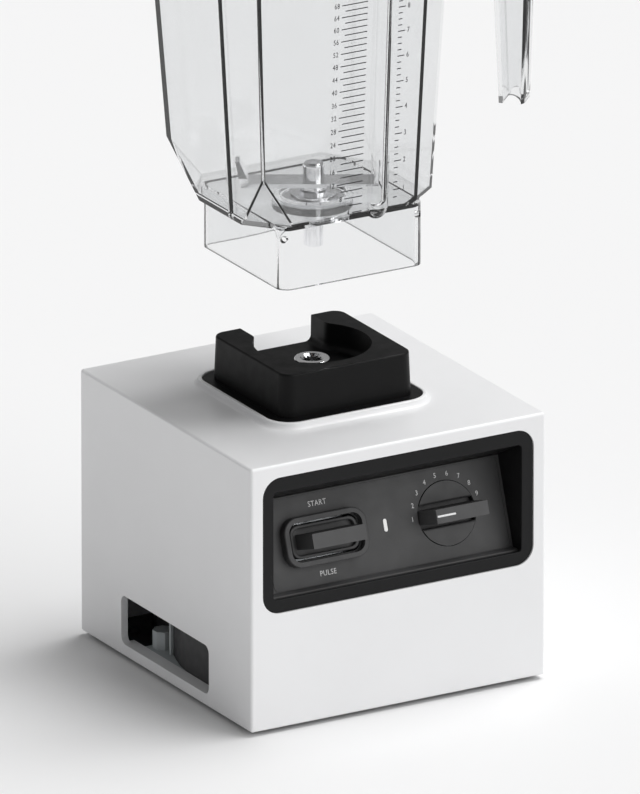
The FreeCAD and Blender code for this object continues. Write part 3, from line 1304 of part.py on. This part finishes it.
def make_blade_nut():
    """Domed cap nut that holds the blade."""
    top = 60.0
    nut = post(6.5, BLADE_Z + 2.6, top)
    nut = nut.makeFillet(2.2, edges_where(nut, lambda p, e: abs(p.z - top) < 0.01))
    return raise_jar(nut.cut(post(SHAFT_RADIUS, 0, 52.0)))


# ---------------------------------------------------------------- lid
def make_jar_lid():
    """Soft black lid: a cover, a plug that enters the jar and a pull tab."""
    cover = jar_block(-3.0, JAR_HEIGHT + 0.1, JAR_HEIGHT + LID_HEIGHT)
    top_edges = edges_where(cover, lambda p, e: abs(p.z - JAR_HEIGHT - LID_HEIGHT) < 0.01)
    cover = cover.makeFillet(2.0, top_edges)
    plug = jar_block(JAR_WALL + 1.6, JAR_HEIGHT - 12.0, JAR_HEIGHT + 1)
    hollow = jar_block(JAR_WALL + 5.0, JAR_HEIGHT - 13.0, JAR_HEIGHT + 4)
    boss = post(CAP_RADIUS + 4.5, JAR_HEIGHT, JAR_HEIGHT + LID_HEIGHT + 3.0)
    groove = jar_block(JAR_WALL + SEAL_DEPTH, JAR_HEIGHT - 8.0, JAR_HEIGHT - 4.0)
    seat = jar_block(0.0, JAR_HEIGHT - 8.0, JAR_HEIGHT - 4.0).cut(groove)
    lid = join([cover, plug.cut(seat)]).cut(hollow)
    lid = join([lid, boss])
    lid = lid.cut(post(CAP_RADIUS + 0.35, JAR_HEIGHT - 20, JAR_HEIGHT + 40))
    return raise_jar(lid)


def make_lid_seal():
    """Silicone ring in the groove round the lid's plug."""
    outer = jar_block(JAR_WALL + 0.4, JAR_HEIGHT - 7.8, JAR_HEIGHT - 4.2)
    return raise_jar(outer.cut(jar_block(JAR_WALL + SEAL_DEPTH, JAR_HEIGHT - 9.0, JAR_HEIGHT - 3.0)))


def make_filler_cap():
    """Cap in the lid's filler hole, with a ridged edge and a vent."""
    seat = JAR_HEIGHT + LID_HEIGHT + 3.0
    stem = post(CAP_RADIUS, JAR_HEIGHT - 6.0, seat + 0.5)
    flange = post(CAP_RADIUS + 3.5, seat + 0.4, seat + 6.0)
    flange = flange.makeFillet(1.6, edges_where(flange, lambda p, e: abs(p.z - seat - 6.0) < 0.01))
    cap = join([stem, flange])
    notches = 24
    for index in range(notches):
        notch = post(1.2, seat + 2.0, seat + 7.0, CAP_RADIUS + 4.0, 0)
        notch.rotate(Vector(0, 0, 0), Z_AXIS, index * 360 / notches)
        cap = cap.cut(notch)
    cap = cap.cut(post(CAP_RADIUS - 3.0, JAR_HEIGHT - 7.0, seat + 2.5))
    for index in range(3):
        angle = math.radians(120 * index)
        cap = cap.cut(post(1.5, seat, seat + 8, 10 * math.cos(angle), 10 * math.sin(angle)))
    return raise_jar(cap)


# ---------------------------------------------------------------- the assembly
NODES = {
    "base_shell": make_base_shell,
    "base_plate": make_base_plate,
    "feet": make_feet,
    "base_screws": make_base_screws,
    "air_guides": lambda: mirrored_pair(make_air_guide()),
    "intake_walls": lambda: mirrored_pair(make_intake_wall()),
    "control_bezel": make_control_bezel,
    "control_panel": make_control_panel,
    "control_overlay": make_control_overlay,
    "panel_screws": make_panel_screws,
    "rocker_ring": make_rocker_ring,
    "rocker_pin": make_rocker_pin,
    "rocker": make_rocker,
    "rocker_switch": make_rocker_switch,
    "speed_dial": make_speed_dial,
    "speed_sensor": make_speed_sensor,
    "sensor_nut": make_sensor_nut,
    "control_bracket": make_control_bracket,
    "indicator_lens": make_indicator_lens,
    "indicator_led": make_indicator_led,
    "jar_socket": make_jar_socket,
    "drive_coupling": make_drive_coupling,
    "rotor_shaft": make_rotor_shaft,
    "armature": make_armature,
    "armature_windings": make_armature_windings,
    "commutator": make_commutator,
    "cooling_fan": make_cooling_fan,
    "stator": make_stator,
    "field_coils": make_field_coils,
    "lower_bracket": make_lower_bracket,
    "upper_bracket": make_upper_bracket,
    "motor_bearings": make_motor_bearings,
    "through_bolts": make_through_bolts,
    "stator_spacers": make_stator_spacers,
    "motor_mounts": make_motor_mounts,
    "brush_holders": make_brush_holders,
    "carbon_brushes": make_carbon_brushes,
    "brush_springs": make_brush_springs,
    "air_baffle": make_air_baffle,
    "control_board": make_control_board,
    "board_pillars": make_board_pillars,
    "heat_sink": make_heat_sink,
    "power_chip": make_power_switch_chip,
    "capacitor": make_suppression_capacitor,
    "choke": make_choke,
    "terminal_block": make_terminal_block,
    "cord_gland": make_cord_gland,
    "gland_nut": make_gland_nut,
    "jar_shell": make_jar_shell,
    "jar_handle": make_jar_handle,
    "bearing_housing": make_bearing_housing,
    "blade_bearing": make_blade_bearing,
    "shaft_seal": make_shaft_seal,
    "housing_nut": make_housing_nut,
    "blade_shaft": make_blade_shaft,
    "blade": make_blade,
    "blade_nut": make_blade_nut,
    "jar_lid": make_jar_lid,
    "lid_seal": make_lid_seal,
    "filler_cap": make_filler_cap,
}


def main():
    os.makedirs("parts", exist_ok=True)
    for name, make in NODES.items():
        shape = make()
        solids = shape.Solids
        print(f"{name}: {len(solids)} solids, {shape.Volume / 1000:.2f} cm3, valid {shape.isValid()}")
        shape.exportStep(f"parts/{name}.step")


main()
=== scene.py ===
"""Looks for the countertop blender: materials, printed marks, clear jar, floor, light and camera.

Metres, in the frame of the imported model: X to the right, -Y the front, Z up.
"""

import json
import math

import bmesh
import bpy
from mathutils import Matrix, Vector
from mathutils.bvhtree import BVHTree


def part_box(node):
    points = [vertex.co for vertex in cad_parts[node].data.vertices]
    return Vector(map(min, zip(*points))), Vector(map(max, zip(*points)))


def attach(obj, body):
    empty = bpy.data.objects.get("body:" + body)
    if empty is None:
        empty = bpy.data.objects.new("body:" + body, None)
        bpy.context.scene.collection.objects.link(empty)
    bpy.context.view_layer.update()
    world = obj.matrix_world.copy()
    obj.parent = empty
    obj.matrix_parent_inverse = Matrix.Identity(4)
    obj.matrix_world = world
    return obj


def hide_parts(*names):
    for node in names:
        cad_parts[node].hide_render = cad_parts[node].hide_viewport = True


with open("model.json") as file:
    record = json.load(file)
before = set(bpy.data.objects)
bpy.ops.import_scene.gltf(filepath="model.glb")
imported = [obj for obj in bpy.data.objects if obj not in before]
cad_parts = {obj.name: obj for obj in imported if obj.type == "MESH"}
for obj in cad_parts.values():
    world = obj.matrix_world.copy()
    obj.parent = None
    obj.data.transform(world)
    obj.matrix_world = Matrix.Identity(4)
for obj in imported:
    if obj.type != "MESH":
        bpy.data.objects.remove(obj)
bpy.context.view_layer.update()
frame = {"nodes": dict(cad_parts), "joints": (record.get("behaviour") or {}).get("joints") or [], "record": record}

MM = 0.001
NODES = frame["nodes"]
JOINTS = {joint["name"]: joint for joint in frame["joints"]}
SLOT_OF = {entry["node"]: entry["material_slot"] for entry in frame["record"]["subparts"]}


# ---------------------------------------------------------------- node helpers
class Graph:
    """A material's node tree, with short calls to add and join nodes."""

    def __init__(self, name):
        self.material = bpy.data.materials.new(name)
        self.material.use_nodes = True
        self.tree = self.material.node_tree
        self.shader = self.tree.nodes["Principled BSDF"]
        self.output = self.tree.nodes["Material Output"]
        self.place = self.add("ShaderNodeTexCoord").outputs["Object"]

    def add(self, kind, **values):
        node = self.tree.nodes.new(kind)
        for key, value in values.items():
            setattr(node, key, value)
        return node

    def join(self, source, target):
        self.tree.links.new(source, target)

    def set(self, **values):
        """Sets constants on the shader, by socket name with underscores for spaces."""
        for key, value in values.items():
            self.shader.inputs[key.replace("_", " ")].default_value = value

    def stretched(self, scale):
        mapping = self.add("ShaderNodeMapping")
        mapping.inputs["Scale"].default_value = scale
        self.join(self.place, mapping.inputs["Vector"])
        return mapping.outputs["Vector"]

    def noise(self, size, detail=3.0, scale=(1, 1, 1), distortion=0.0):
        """Noise whose features are about this many metres across."""
        node = self.add("ShaderNodeTexNoise")
        node.inputs["Scale"].default_value = 1.0 / size
        node.inputs["Detail"].default_value = detail
        node.inputs["Distortion"].default_value = distortion
        self.join(self.stretched(scale), node.inputs["Vector"])
        return node.outputs["Fac"]

    def spread(self, value, low, high, start=0.3, end=0.7):
        """Maps a value between start and end to low and high."""
        node = self.add("ShaderNodeMapRange")
        for key, number in (("From Min", start), ("From Max", end), ("To Min", low), ("To Max", high)):
            node.inputs[key].default_value = number
        self.join(value, node.inputs["Value"])
        return node.outputs["Result"]

    def blend(self, factor, first, second):
        """A colour between two, each a colour or a socket."""
        node = self.add("ShaderNodeMix", data_type="RGBA")
        self.join(factor, node.inputs["Factor"])
        for key, value in (("A", first), ("B", second)):
            socket = next(s for s in node.inputs if s.name == key and s.type == "RGBA")
            if isinstance(value, bpy.types.NodeSocket):
                self.join(value, socket)
            else:
                socket.default_value = (*value, 1.0)
        return next(s for s in node.outputs if s.type == "RGBA")

    def bump(self, heights):
        """Stacks (height socket, depth in metres) pairs into the shader's normal."""
        normal = None
        for height, depth in heights:
            node = self.add("ShaderNodeBump")
            node.inputs["Distance"].default_value = depth
            self.join(height, node.inputs["Height"])
            if normal:
                self.join(normal, node.inputs["Normal"])
            normal = node.outputs["Normal"]
        self.join(normal, self.shader.inputs["Normal"])

    def edges(self, radius):
        """1 on edges within the radius, 0 on flats."""
        bevel = self.add("ShaderNodeBevel", samples=4)
        bevel.inputs["Radius"].default_value = radius
        flat = self.add("ShaderNodeNewGeometry").outputs["Normal"]
        dot = self.add("ShaderNodeVectorMath", operation="DOT_PRODUCT")
        self.join(bevel.outputs["Normal"], dot.inputs[0])
        self.join(flat, dot.inputs[1])
        return self.spread(dot.outputs["Value"], 1.0, 0.0, 0.9, 0.995)


def tinted(colour, share):
    """The colour, lighter or darker by a share."""
    return tuple(min(1.0, channel * share) for channel in colour)


# ---------------------------------------------------------------- materials
def moulded(name, colour, roughness, grain=0.6 * MM, depth=0.02 * MM, variation=0.06, wear=0.0, **extra):
    """Moulded plastic or rubber: fine grain, faint cloudy colour, and edges a little polished by use."""
    g = Graph(name)
    cloud = g.noise(45 * MM, 4)
    shade = g.blend(g.spread(cloud, 0, 1), tinted(colour, 1 - variation), tinted(colour, 1 + variation))
    rough = g.spread(g.noise(9 * MM, 5), roughness - 0.06, roughness + 0.06)
    if wear:
        edge = g.edges(0.9 * MM)
        worn = g.add("ShaderNodeMath", operation="MULTIPLY")
        g.join(edge, worn.inputs[0])
        g.join(g.spread(g.noise(6 * MM, 6), 0.2 * wear, wear), worn.inputs[1])
        shade = g.blend(worn.outputs["Value"], shade, tinted(colour, 1.9))
    g.join(shade, g.shader.inputs["Base Color"])
    g.join(rough, g.shader.inputs["Roughness"])
    g.bump([(g.noise(grain, 2), depth), (g.noise(22 * MM, 2), 0.03 * MM)])
    g.set(**extra)
    return g.material


def white_shell():
    """White gloss plastic with the faintest orange-peel skin, and a painted highlight along its edges."""
    g = Graph("white_shell")
    white = (0.86, 0.862, 0.87)
    cloud = g.noise(60 * MM, 3)
    shade = g.blend(g.spread(cloud, 0, 1), tinted(white, 0.985), tinted(white, 1.01))
    # painted highlight: the base colour is lightened along every edge within the radius
    edge = g.edges(0.8 * MM)
    shade = g.blend(edge, shade, (0.9, 0.9, 0.905))
    g.join(shade, g.shader.inputs["Base Color"])
    g.join(g.spread(g.noise(14 * MM, 5), 0.3, 0.42), g.shader.inputs["Roughness"])
    g.bump([(g.noise(2.2 * MM, 2), 0.012 * MM), (g.noise(0.35 * MM, 1), 0.003 * MM)])
    g.set(IOR=1.46, Coat_Weight=0.25, Coat_Roughness=0.12)
    return g.material


def polished(name, colour, roughness, scratch=0.004 * MM, brushed=(1, 1, 1)):
    """Metal with fine wiping marks and small changes in polish."""
    g = Graph(name)
    cloud = g.noise(12 * MM, 4)
    shade = g.blend(g.spread(cloud, 0, 1), tinted(colour, 0.93), tinted(colour, 1.05))
    rough = g.spread(g.noise(5 * MM, 6, brushed), roughness * 0.6, roughness * 1.5)
    g.join(shade, g.shader.inputs["Base Color"])
    g.join(rough, g.shader.inputs["Roughness"])
    g.bump([(g.noise(0.8 * MM, 6, brushed), scratch)])
    g.set(Metallic=1.0)
    return g.material


def laminated():
    """A stack of thin steel sheets: fine level lines with darker gaps."""
    g = Graph("laminated_steel")
    wave = g.add("ShaderNodeTexWave", bands_direction="Z")
    wave.inputs["Scale"].default_value = 1 / (2.2 * MM)
    wave.inputs["Distortion"].default_value = 0.4
    g.join(g.place, wave.inputs["Vector"])
    lines = wave.outputs["Fac"]
    steel = (0.34, 0.34, 0.35)
    g.join(g.blend(lines, tinted(steel, 0.55), tinted(steel, 1.15)), g.shader.inputs["Base Color"])
    g.join(g.spread(g.noise(4 * MM), 0.35, 0.6), g.shader.inputs["Roughness"])
    g.bump([(lines, 0.05 * MM)])
    g.set(Metallic=0.85)
    return g.material


def wound_copper():
    """Enamelled wire laid in turns."""
    g = Graph("winding_copper")
    wave = g.add("ShaderNodeTexWave", bands_direction="DIAGONAL")
    wave.inputs["Scale"].default_value = 1 / (3.0 * MM)
    wave.inputs["Distortion"].default_value = 1.2
    wave.inputs["Detail"].default_value = 2
    g.join(g.place, wave.inputs["Vector"])
    wires = wave.outputs["Fac"]
    copper = (0.55, 0.22, 0.09)
    g.join(g.blend(wires, tinted(copper, 0.4), tinted(copper, 1.3)), g.shader.inputs["Base Color"])
    g.join(g.spread(g.noise(3 * MM), 0.25, 0.45), g.shader.inputs["Roughness"])
    g.bump([(wires, 0.25 * MM)])
    g.set(Metallic=0.7, Coat_Weight=0.6, Coat_Roughness=0.15)
    return g.material


def circuit_board():
    """Green lacquer over copper tracks."""
    g = Graph("board_green")
    brick = g.add("ShaderNodeTexBrick")
    brick.inputs["Scale"].default_value = 1 / (16 * MM)
    brick.inputs["Mortar Size"].default_value = 0.06
    g.join(g.stretched((1, 1, 1)), brick.inputs["Vector"])
    tracks = brick.outputs["Fac"]
    g.join(g.blend(tracks, (0.012, 0.1, 0.045), (0.05, 0.24, 0.1)), g.shader.inputs["Base Color"])
    g.join(g.spread(g.noise(6 * MM), 0.25, 0.4), g.shader.inputs["Roughness"])
    g.bump([(tracks, 0.04 * MM)])
    return g.material


def clear_plastic():
    """Clear moulded plastic with faint flow marks and fine rubbing."""
    g = Graph("clear_plastic")
    clear = (0.90, 0.906, 0.91)
    shade = g.blend(g.spread(g.noise(50 * MM, 3), 0, 1), tinted(clear, 0.985), clear)
    g.join(shade, g.shader.inputs["Base Color"])
    g.join(g.spread(g.noise(7 * MM, 6), 0.015, 0.045), g.shader.inputs["Roughness"])
    g.bump([(g.noise(28 * MM, 2, (1, 1, 0.35)), 0.05 * MM), (g.noise(1.5 * MM, 3), 0.0015 * MM)])
    g.set(Transmission_Weight=1.0, IOR=1.5)
    return g.material


def printed(name, colour):
    """Screen-printed ink, slightly uneven."""
    g = Graph(name)
    shade = g.blend(g.spread(g.noise(1.2 * MM, 4), 0, 1), tinted(colour, 0.88), colour)
    g.join(shade, g.shader.inputs["Base Color"])
    g.join(g.spread(g.noise(2 * MM), 0.4, 0.6), g.shader.inputs["Roughness"])
    g.bump([(g.noise(0.3 * MM, 2), 0.008 * MM)])
    return g.material


MATERIALS = {
    "white_plastic": white_shell(),
    "black_bezel": moulded("black_bezel", (0.008, 0.008, 0.0085), 0.45, wear=0.2, IOR=1.28),
    "grey_panel": moulded("grey_panel", (0.068, 0.068, 0.069), 0.55, wear=0.2, Specular_IOR_Level=0.45),
    "dark_control": moulded("dark_control", (0.062, 0.062, 0.063), 0.5, wear=0.35,
                            Specular_IOR_Level=0.45),
    "switch_plastic": moulded("switch_plastic", (0.03, 0.03, 0.03), 0.5),
    "light_guide": moulded("light_guide", (0.93, 0.93, 0.91), 0.3, Emission_Color=(1, 1, 1, 1),
                           Emission_Strength=0.15),
    "lamp": moulded("lamp", (0.8, 0.85, 0.9), 0.15, Transmission_Weight=0.6),
    "duct_grey": moulded("duct_grey", (0.42, 0.45, 0.46), 0.5),
    "black_plastic": moulded("black_plastic", (0.022, 0.022, 0.024), 0.5, wear=0.2),
    "socket_rubber": moulded("socket_rubber", (0.0045, 0.0045, 0.0047), 0.42, wear=0.3, IOR=1.25),
    "soft_rubber": moulded("soft_rubber", (0.03, 0.03, 0.03), 0.7, wear=0.2),
    "seal_silicone": moulded("seal_silicone", (0.5, 0.51, 0.52), 0.45),
    "lid_rubber": moulded("lid_rubber", (0.02, 0.02, 0.021), 0.6, wear=0.25),
    "drive_chrome": polished("drive_chrome", (0.95, 0.95, 0.96), 0.14),
    "blade_steel": polished("blade_steel", (0.93, 0.93, 0.94), 0.16, 0.006 * MM, (1, 4, 1)),
    "shaft_steel": polished("shaft_steel", (0.6, 0.6, 0.61), 0.25, 0.01 * MM, (1, 1, 8)),
    "laminated_steel": laminated(),
    "copper": polished("copper", (0.75, 0.38, 0.2), 0.2, 0.008 * MM),
    "winding_copper": wound_copper(),
    "cast_aluminium": polished("cast_aluminium", (0.62, 0.63, 0.64), 0.42, 0.04 * MM),
    "zinc_steel": polished("zinc_steel", (0.58, 0.6, 0.62), 0.3, 0.01 * MM),
    "carbon": moulded("carbon", (0.02, 0.02, 0.02), 0.6),
    "board_green": circuit_board(),
    "component_plastic": moulded("component_plastic", (0.55, 0.42, 0.06), 0.4),
    "ferrite": wound_copper(),
    "clear_jar": clear_plastic(),
}
WHITE_INK = printed("white_ink", (0.86, 0.86, 0.86))
DARK_INK = printed("dark_ink", (0.012, 0.012, 0.014))


def dress(piece, material):
    """Gives a piece one material all over."""
    piece.data.materials.clear()
    piece.data.materials.append(material)


def dress_nodes():
    for name, node in NODES.items():
        dress(node, MATERIALS[SLOT_OF[name]])


# ---------------------------------------------------------------- piece helpers
def add_piece(name, mesh, material, body):
    """A new object that rides on a CAD body."""
    piece = bpy.data.objects.new(name, mesh)
    bpy.context.scene.collection.objects.link(piece)
    dress(piece, material)
    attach(piece, body)
    return piece


def mesh_from(bm, name):
    mesh = bpy.data.meshes.new(name)
    bm.to_mesh(mesh)
    bm.free()
    return mesh


def plane_frame(origin, right, outward):
    """A matrix whose X is right, Z is outward and Y is up the plane."""
    right, outward = right.normalized(), outward.normalized()
    up = outward.cross(right)
    turn = Matrix((right, up, outward)).transposed().to_4x4()
    return Matrix.Translation(origin) @ turn


def bar_mesh(name, bars, place, thickness):
    """Flat rounded bars, each (x, y, width, height) from its centre, standing off a plane."""
    bm = bmesh.new()
    for x, y, width, height in bars:
        made = bmesh.ops.create_cube(bm, size=1.0)
        for vert in made["verts"]:
            across, along, out = vert.co
            vert.co = Vector((x + across * width, y + along * height, (out + 0.5) * thickness))
    upright = [e for e in bm.edges if abs((e.verts[0].co - e.verts[1].co).normalized().z) > 0.9]
    smallest = min(min(width, height) for _, _, width, height in bars)
    bmesh.ops.bevel(bm, geom=upright, offset=0.45 * smallest, segments=3, affect="EDGES")
    bmesh.ops.transform(bm, matrix=place, verts=bm.verts)
    return mesh_from(bm, name)


def text_mesh(name, words, place, thickness):
    """Raised characters as one mesh: each word is (text, x, y, height, narrowing, align)."""
    bm = bmesh.new()
    digit_share = 0.70
    for text, x, y, height, narrow, align in words:
        curve = bpy.data.curves.new(name + "_curve", "FONT")
        curve.body = text
        curve.size = height / digit_share
        curve.align_x = align
        curve.align_y = "CENTER"
        curve.extrude = thickness / 2
        curve.resolution_u = 3
        curve.space_character = 1.1
        holder = bpy.data.objects.new(name + "_curve", curve)
        bpy.context.scene.collection.objects.link(holder)
        evaluated = holder.evaluated_get(bpy.context.evaluated_depsgraph_get())
        letters = bpy.data.meshes.new_from_object(evaluated)
        letters.transform(Matrix.Translation((x, y, thickness / 2)) @ Matrix.Diagonal((narrow, 1, 1, 1)))
        bm.from_mesh(letters)
        bpy.data.objects.remove(holder)
        bpy.data.meshes.remove(letters)
    bmesh.ops.remove_doubles(bm, verts=bm.verts, dist=1e-6)
    bmesh.ops.transform(bm, matrix=place, verts=bm.verts)
    return mesh_from(bm, name)


def surface_point(node, start, direction):
    """Where a ray first meets a CAD node, and the face's normal there."""
    bm = bmesh.new()
    bm.from_mesh(NODES[node].data)
    tree = BVHTree.FromBMesh(bm)
    point, normal, _, _ = tree.ray_cast(start, direction.normalized())
    bm.free()
    return point, normal


# ---------------------------------------------------------------- marks on the panel
DIAL_PLACE = Vector(JOINTS["dial_turn"]["pos_m"])
PANEL_OUT = -Vector(JOINTS["dial_turn"]["axis"]).normalized()
PANEL = plane_frame(DIAL_PLACE, Vector((1, 0, 0)), PANEL_OUT)
INK = 0.12 * MM


def on_panel(point):
    """A point in the panel's plane: (right, up the slope, outward) from the dial's centre."""
    return PANEL.inverted() @ point


def make_panel_marks():
    rocker_low, rocker_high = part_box("rocker_ring")
    rocker_u = on_panel((rocker_low + rocker_high) / 2).x
    label_offset = 21.3 * MM
    label_height = 3.3 * MM
    words = [
        ("START", rocker_u, label_offset, label_height, 0.86, "CENTER"),
        ("PULSE", rocker_u, -label_offset, label_height, 0.86, "CENTER"),
    ]
    speeds = 9
    step = math.radians(20)
    number_radius = 23.9 * MM
    for index in range(speeds):
        angle = math.pi - index * step
        words.append((str(index + 1), number_radius * math.cos(angle), number_radius * math.sin(angle),
                      3.0 * MM, 0.9, "CENTER"))
    mesh = text_mesh("panel_marks", words, PANEL, INK)
    add_piece("panel_marks", mesh, WHITE_INK, "base")


def make_pointer():
    """White line on the dial's grip bar, at the end that points to the speed."""
    points = [on_panel(vert.co) for vert in NODES["speed_dial"].data.vertices]
    reach = max(point.z for point in points)
    left = min(point.x for point in points if point.z > reach - 0.05 * MM)
    length, width = 13.5 * MM, 1.2 * MM
    place = PANEL @ Matrix.Translation((0, 0, reach))
    mesh = bar_mesh("dial_pointer", [(left + length / 2, 0, length, width)], place, INK)
    add_piece("dial_pointer", mesh, WHITE_INK, "dial")


# ---------------------------------------------------------------- jar
JAR_LOW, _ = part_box("jar_shell")


def jar_height(millimetres):
    """A height above the lower edge of the jar's skirt."""
    return JAR_LOW.z + millimetres * MM


def make_clear_pieces():
    """The jar and its handle with softened edges, so that light bends round them."""
    for node, width in (("jar_shell", 0.9 * MM), ("jar_handle", 0.5 * MM)):
        bm = bmesh.new()
        bm.from_mesh(NODES[node].data)
        bmesh.ops.remove_doubles(bm, verts=bm.verts, dist=1e-6)
        bmesh.ops.dissolve_limit(bm, angle_limit=math.radians(0.5), verts=bm.verts, edges=bm.edges)
        name = node + "_clear"
        piece = add_piece(name, mesh_from(bm, name), MATERIALS["clear_jar"], "jar")
        bevel = piece.modifiers.new("soft_edges", "BEVEL")
        bevel.width = width
        bevel.segments = 3
        bevel.limit_method = "ANGLE"
        bevel.angle_limit = math.radians(28)
        bevel.use_clamp_overlap = True
        bevel.harden_normals = False
        for face in piece.data.polygons:
            face.use_smooth = True
        smooth_by_angle(piece, 30)
        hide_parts(node)


def smooth_by_angle(piece, degrees):
    """Shades a mesh smooth except across edges sharper than the angle."""
    mesh = piece.data
    bm = bmesh.new()
    bm.from_mesh(mesh)
    limit = math.radians(degrees)
    for edge in bm.edges:
        edge.smooth = len(edge.link_faces) == 2 and edge.calc_face_angle(0) < limit
    bm.to_mesh(mesh)
    bm.free()


def make_volume_marks():
    """Two printed scales on the jar's front wall: ounces on the left, cups on the right."""
    probe = Vector((0, -1, jar_height(110)))
    point, normal = surface_point("jar_shell", probe, Vector((0, 1, 0)))
    wall = plane_frame(Vector((0, point.y, point.z)), Vector((1, 0, 0)), normal)
    level = point.z

    def up(millimetres):
        """Distance up the drafted wall to a height in the jar."""
        return (jar_height(millimetres) - level) / wall.col[1].z

    def ounce_height(ounces):
        """Height of a volume mark: the jar widens upward, so the marks close up."""
        more = ounces - 12
        if more < 0:
            return 61.7 + 2.42 * more
        return 61.7 + 2.24 * more - 0.0029 * more * more

    tick = 0.6 * MM
    bars, words = [], []
    ounce_right, cup_left, cup_number_left = 5.5 * MM, 26.8 * MM, 33.2 * MM
    number_height, number_narrowing = 3.3 * MM, 0.75
    first_ounce, last_ounce = 4, 72
    short_ounces = {4: 7.0, 6: 9.5, 8: 12.6, 10: 15.4}
    for ounce in range(first_ounce, last_ounce + 1, 2):
        y = up(ounce_height(ounce))
        labelled = ounce % 4 == 0
        length = short_ounces.get(ounce, 18.2 if labelled else 15.9) * MM
        bars.append((ounce_right - length / 2, y, length, tick))
        if labelled:
            words.append((str(ounce), ounce_right - length - 1.5 * MM, y,
                          number_height, number_narrowing, "RIGHT"))
    first_quarter, last_quarter = 3, 34
    for quarter in range(first_quarter, last_quarter + 1):
        y = up(ounce_height(2 * quarter))
        whole = quarter % 4 == 0
        length = (5.2 if whole else 3.1) * MM
        bars.append((cup_left + length / 2, y, length, tick))
        if whole:
            words.append((str(quarter // 4), cup_number_left, y,
                          number_height, number_narrowing, "LEFT"))
    lift = wall @ Matrix.Translation((0, 0, 0.02 * MM))
    ticks = bar_mesh("volume_ticks", bars, lift, INK)
    numbers = text_mesh("volume_numbers", words, lift, INK)
    add_piece("volume_ticks", ticks, DARK_INK, "jar")
    add_piece("volume_numbers", numbers, DARK_INK, "jar")


# ---------------------------------------------------------------- stage, light and camera
def make_floor():
    size = 12.0
    bm = bmesh.new()
    bmesh.ops.create_grid(bm, x_segments=8, y_segments=8, size=size)
    floor = bpy.data.objects.new("floor", mesh_from(bm, "floor"))
    bpy.context.scene.collection.objects.link(floor)
    g = Graph("floor")
    g.join(g.blend(g.spread(g.noise(0.8, 3), 0, 1), (0.845, 0.845, 0.848), (0.855, 0.855, 0.857)),
           g.shader.inputs["Base Color"])
    g.set(Roughness=0.7, Specular_IOR_Level=0.1)
    dress(floor, g.material)


def add_sun(name, azimuth, elevation, strength, spread):
    """A broad, even light from a direction: azimuth 0 is the front, positive to the left."""
    a, e = math.radians(azimuth), math.radians(elevation)
    toward = Vector((-math.sin(a) * math.cos(e), -math.cos(a) * math.cos(e), math.sin(e)))
    light = bpy.data.lights.new(name, "SUN")
    light.energy = strength
    light.angle = math.radians(spread)
    lamp = bpy.data.objects.new(name, light)
    lamp.rotation_mode = "QUATERNION"
    lamp.rotation_quaternion = toward.to_track_quat("Z", "Y")
    bpy.context.scene.collection.objects.link(lamp)


def make_light():
    world = bpy.data.worlds.new("studio")
    bpy.context.scene.world = world
    world.use_nodes = True
    world.node_tree.nodes["Background"].inputs["Color"].default_value = (1, 1, 1, 1)
    world.node_tree.nodes["Background"].inputs["Strength"].default_value = 0.28
    add_sun("key", -84, 68, 2.35, 38)
    add_sun("front_fill", -25, 25, 0.92, 50)


def make_camera():
    """A very long lens, so that edges stay nearly parallel."""
    azimuth, elevation = math.radians(-30.0), math.radians(19.8)
    lens, sensor = 1250.0, 36.0
    height_in_view = 0.4821472
    distance = height_in_view * lens / sensor
    back = Vector((math.sin(azimuth) * math.cos(elevation), -math.cos(azimuth) * math.cos(elevation),
                   math.sin(elevation)))
    right = Vector((math.cos(azimuth), math.sin(azimuth), 0))
    up = back.cross(right)
    target = right * 4.68 * MM + up * 157.5 * MM  # the middle of the picture, from the floor's origin
    camera = bpy.data.cameras.new("camera")
    camera.lens = lens
    camera.sensor_width = sensor
    camera.clip_start = 0.1
    camera.clip_end = 40.0
    holder = bpy.data.objects.new("camera", camera)
    holder.location = target + back * distance
    holder.rotation_mode = "QUATERNION"
    holder.rotation_quaternion = Matrix((right, up, back)).transposed().to_quaternion()
    bpy.context.scene.collection.objects.link(holder)
    bpy.context.scene.camera = holder


bpy.context.scene.view_settings.view_transform = "Standard"
dress_nodes()
make_clear_pieces()
make_panel_marks()
make_pointer()
make_volume_marks()
make_floor()
make_light()
make_camera()
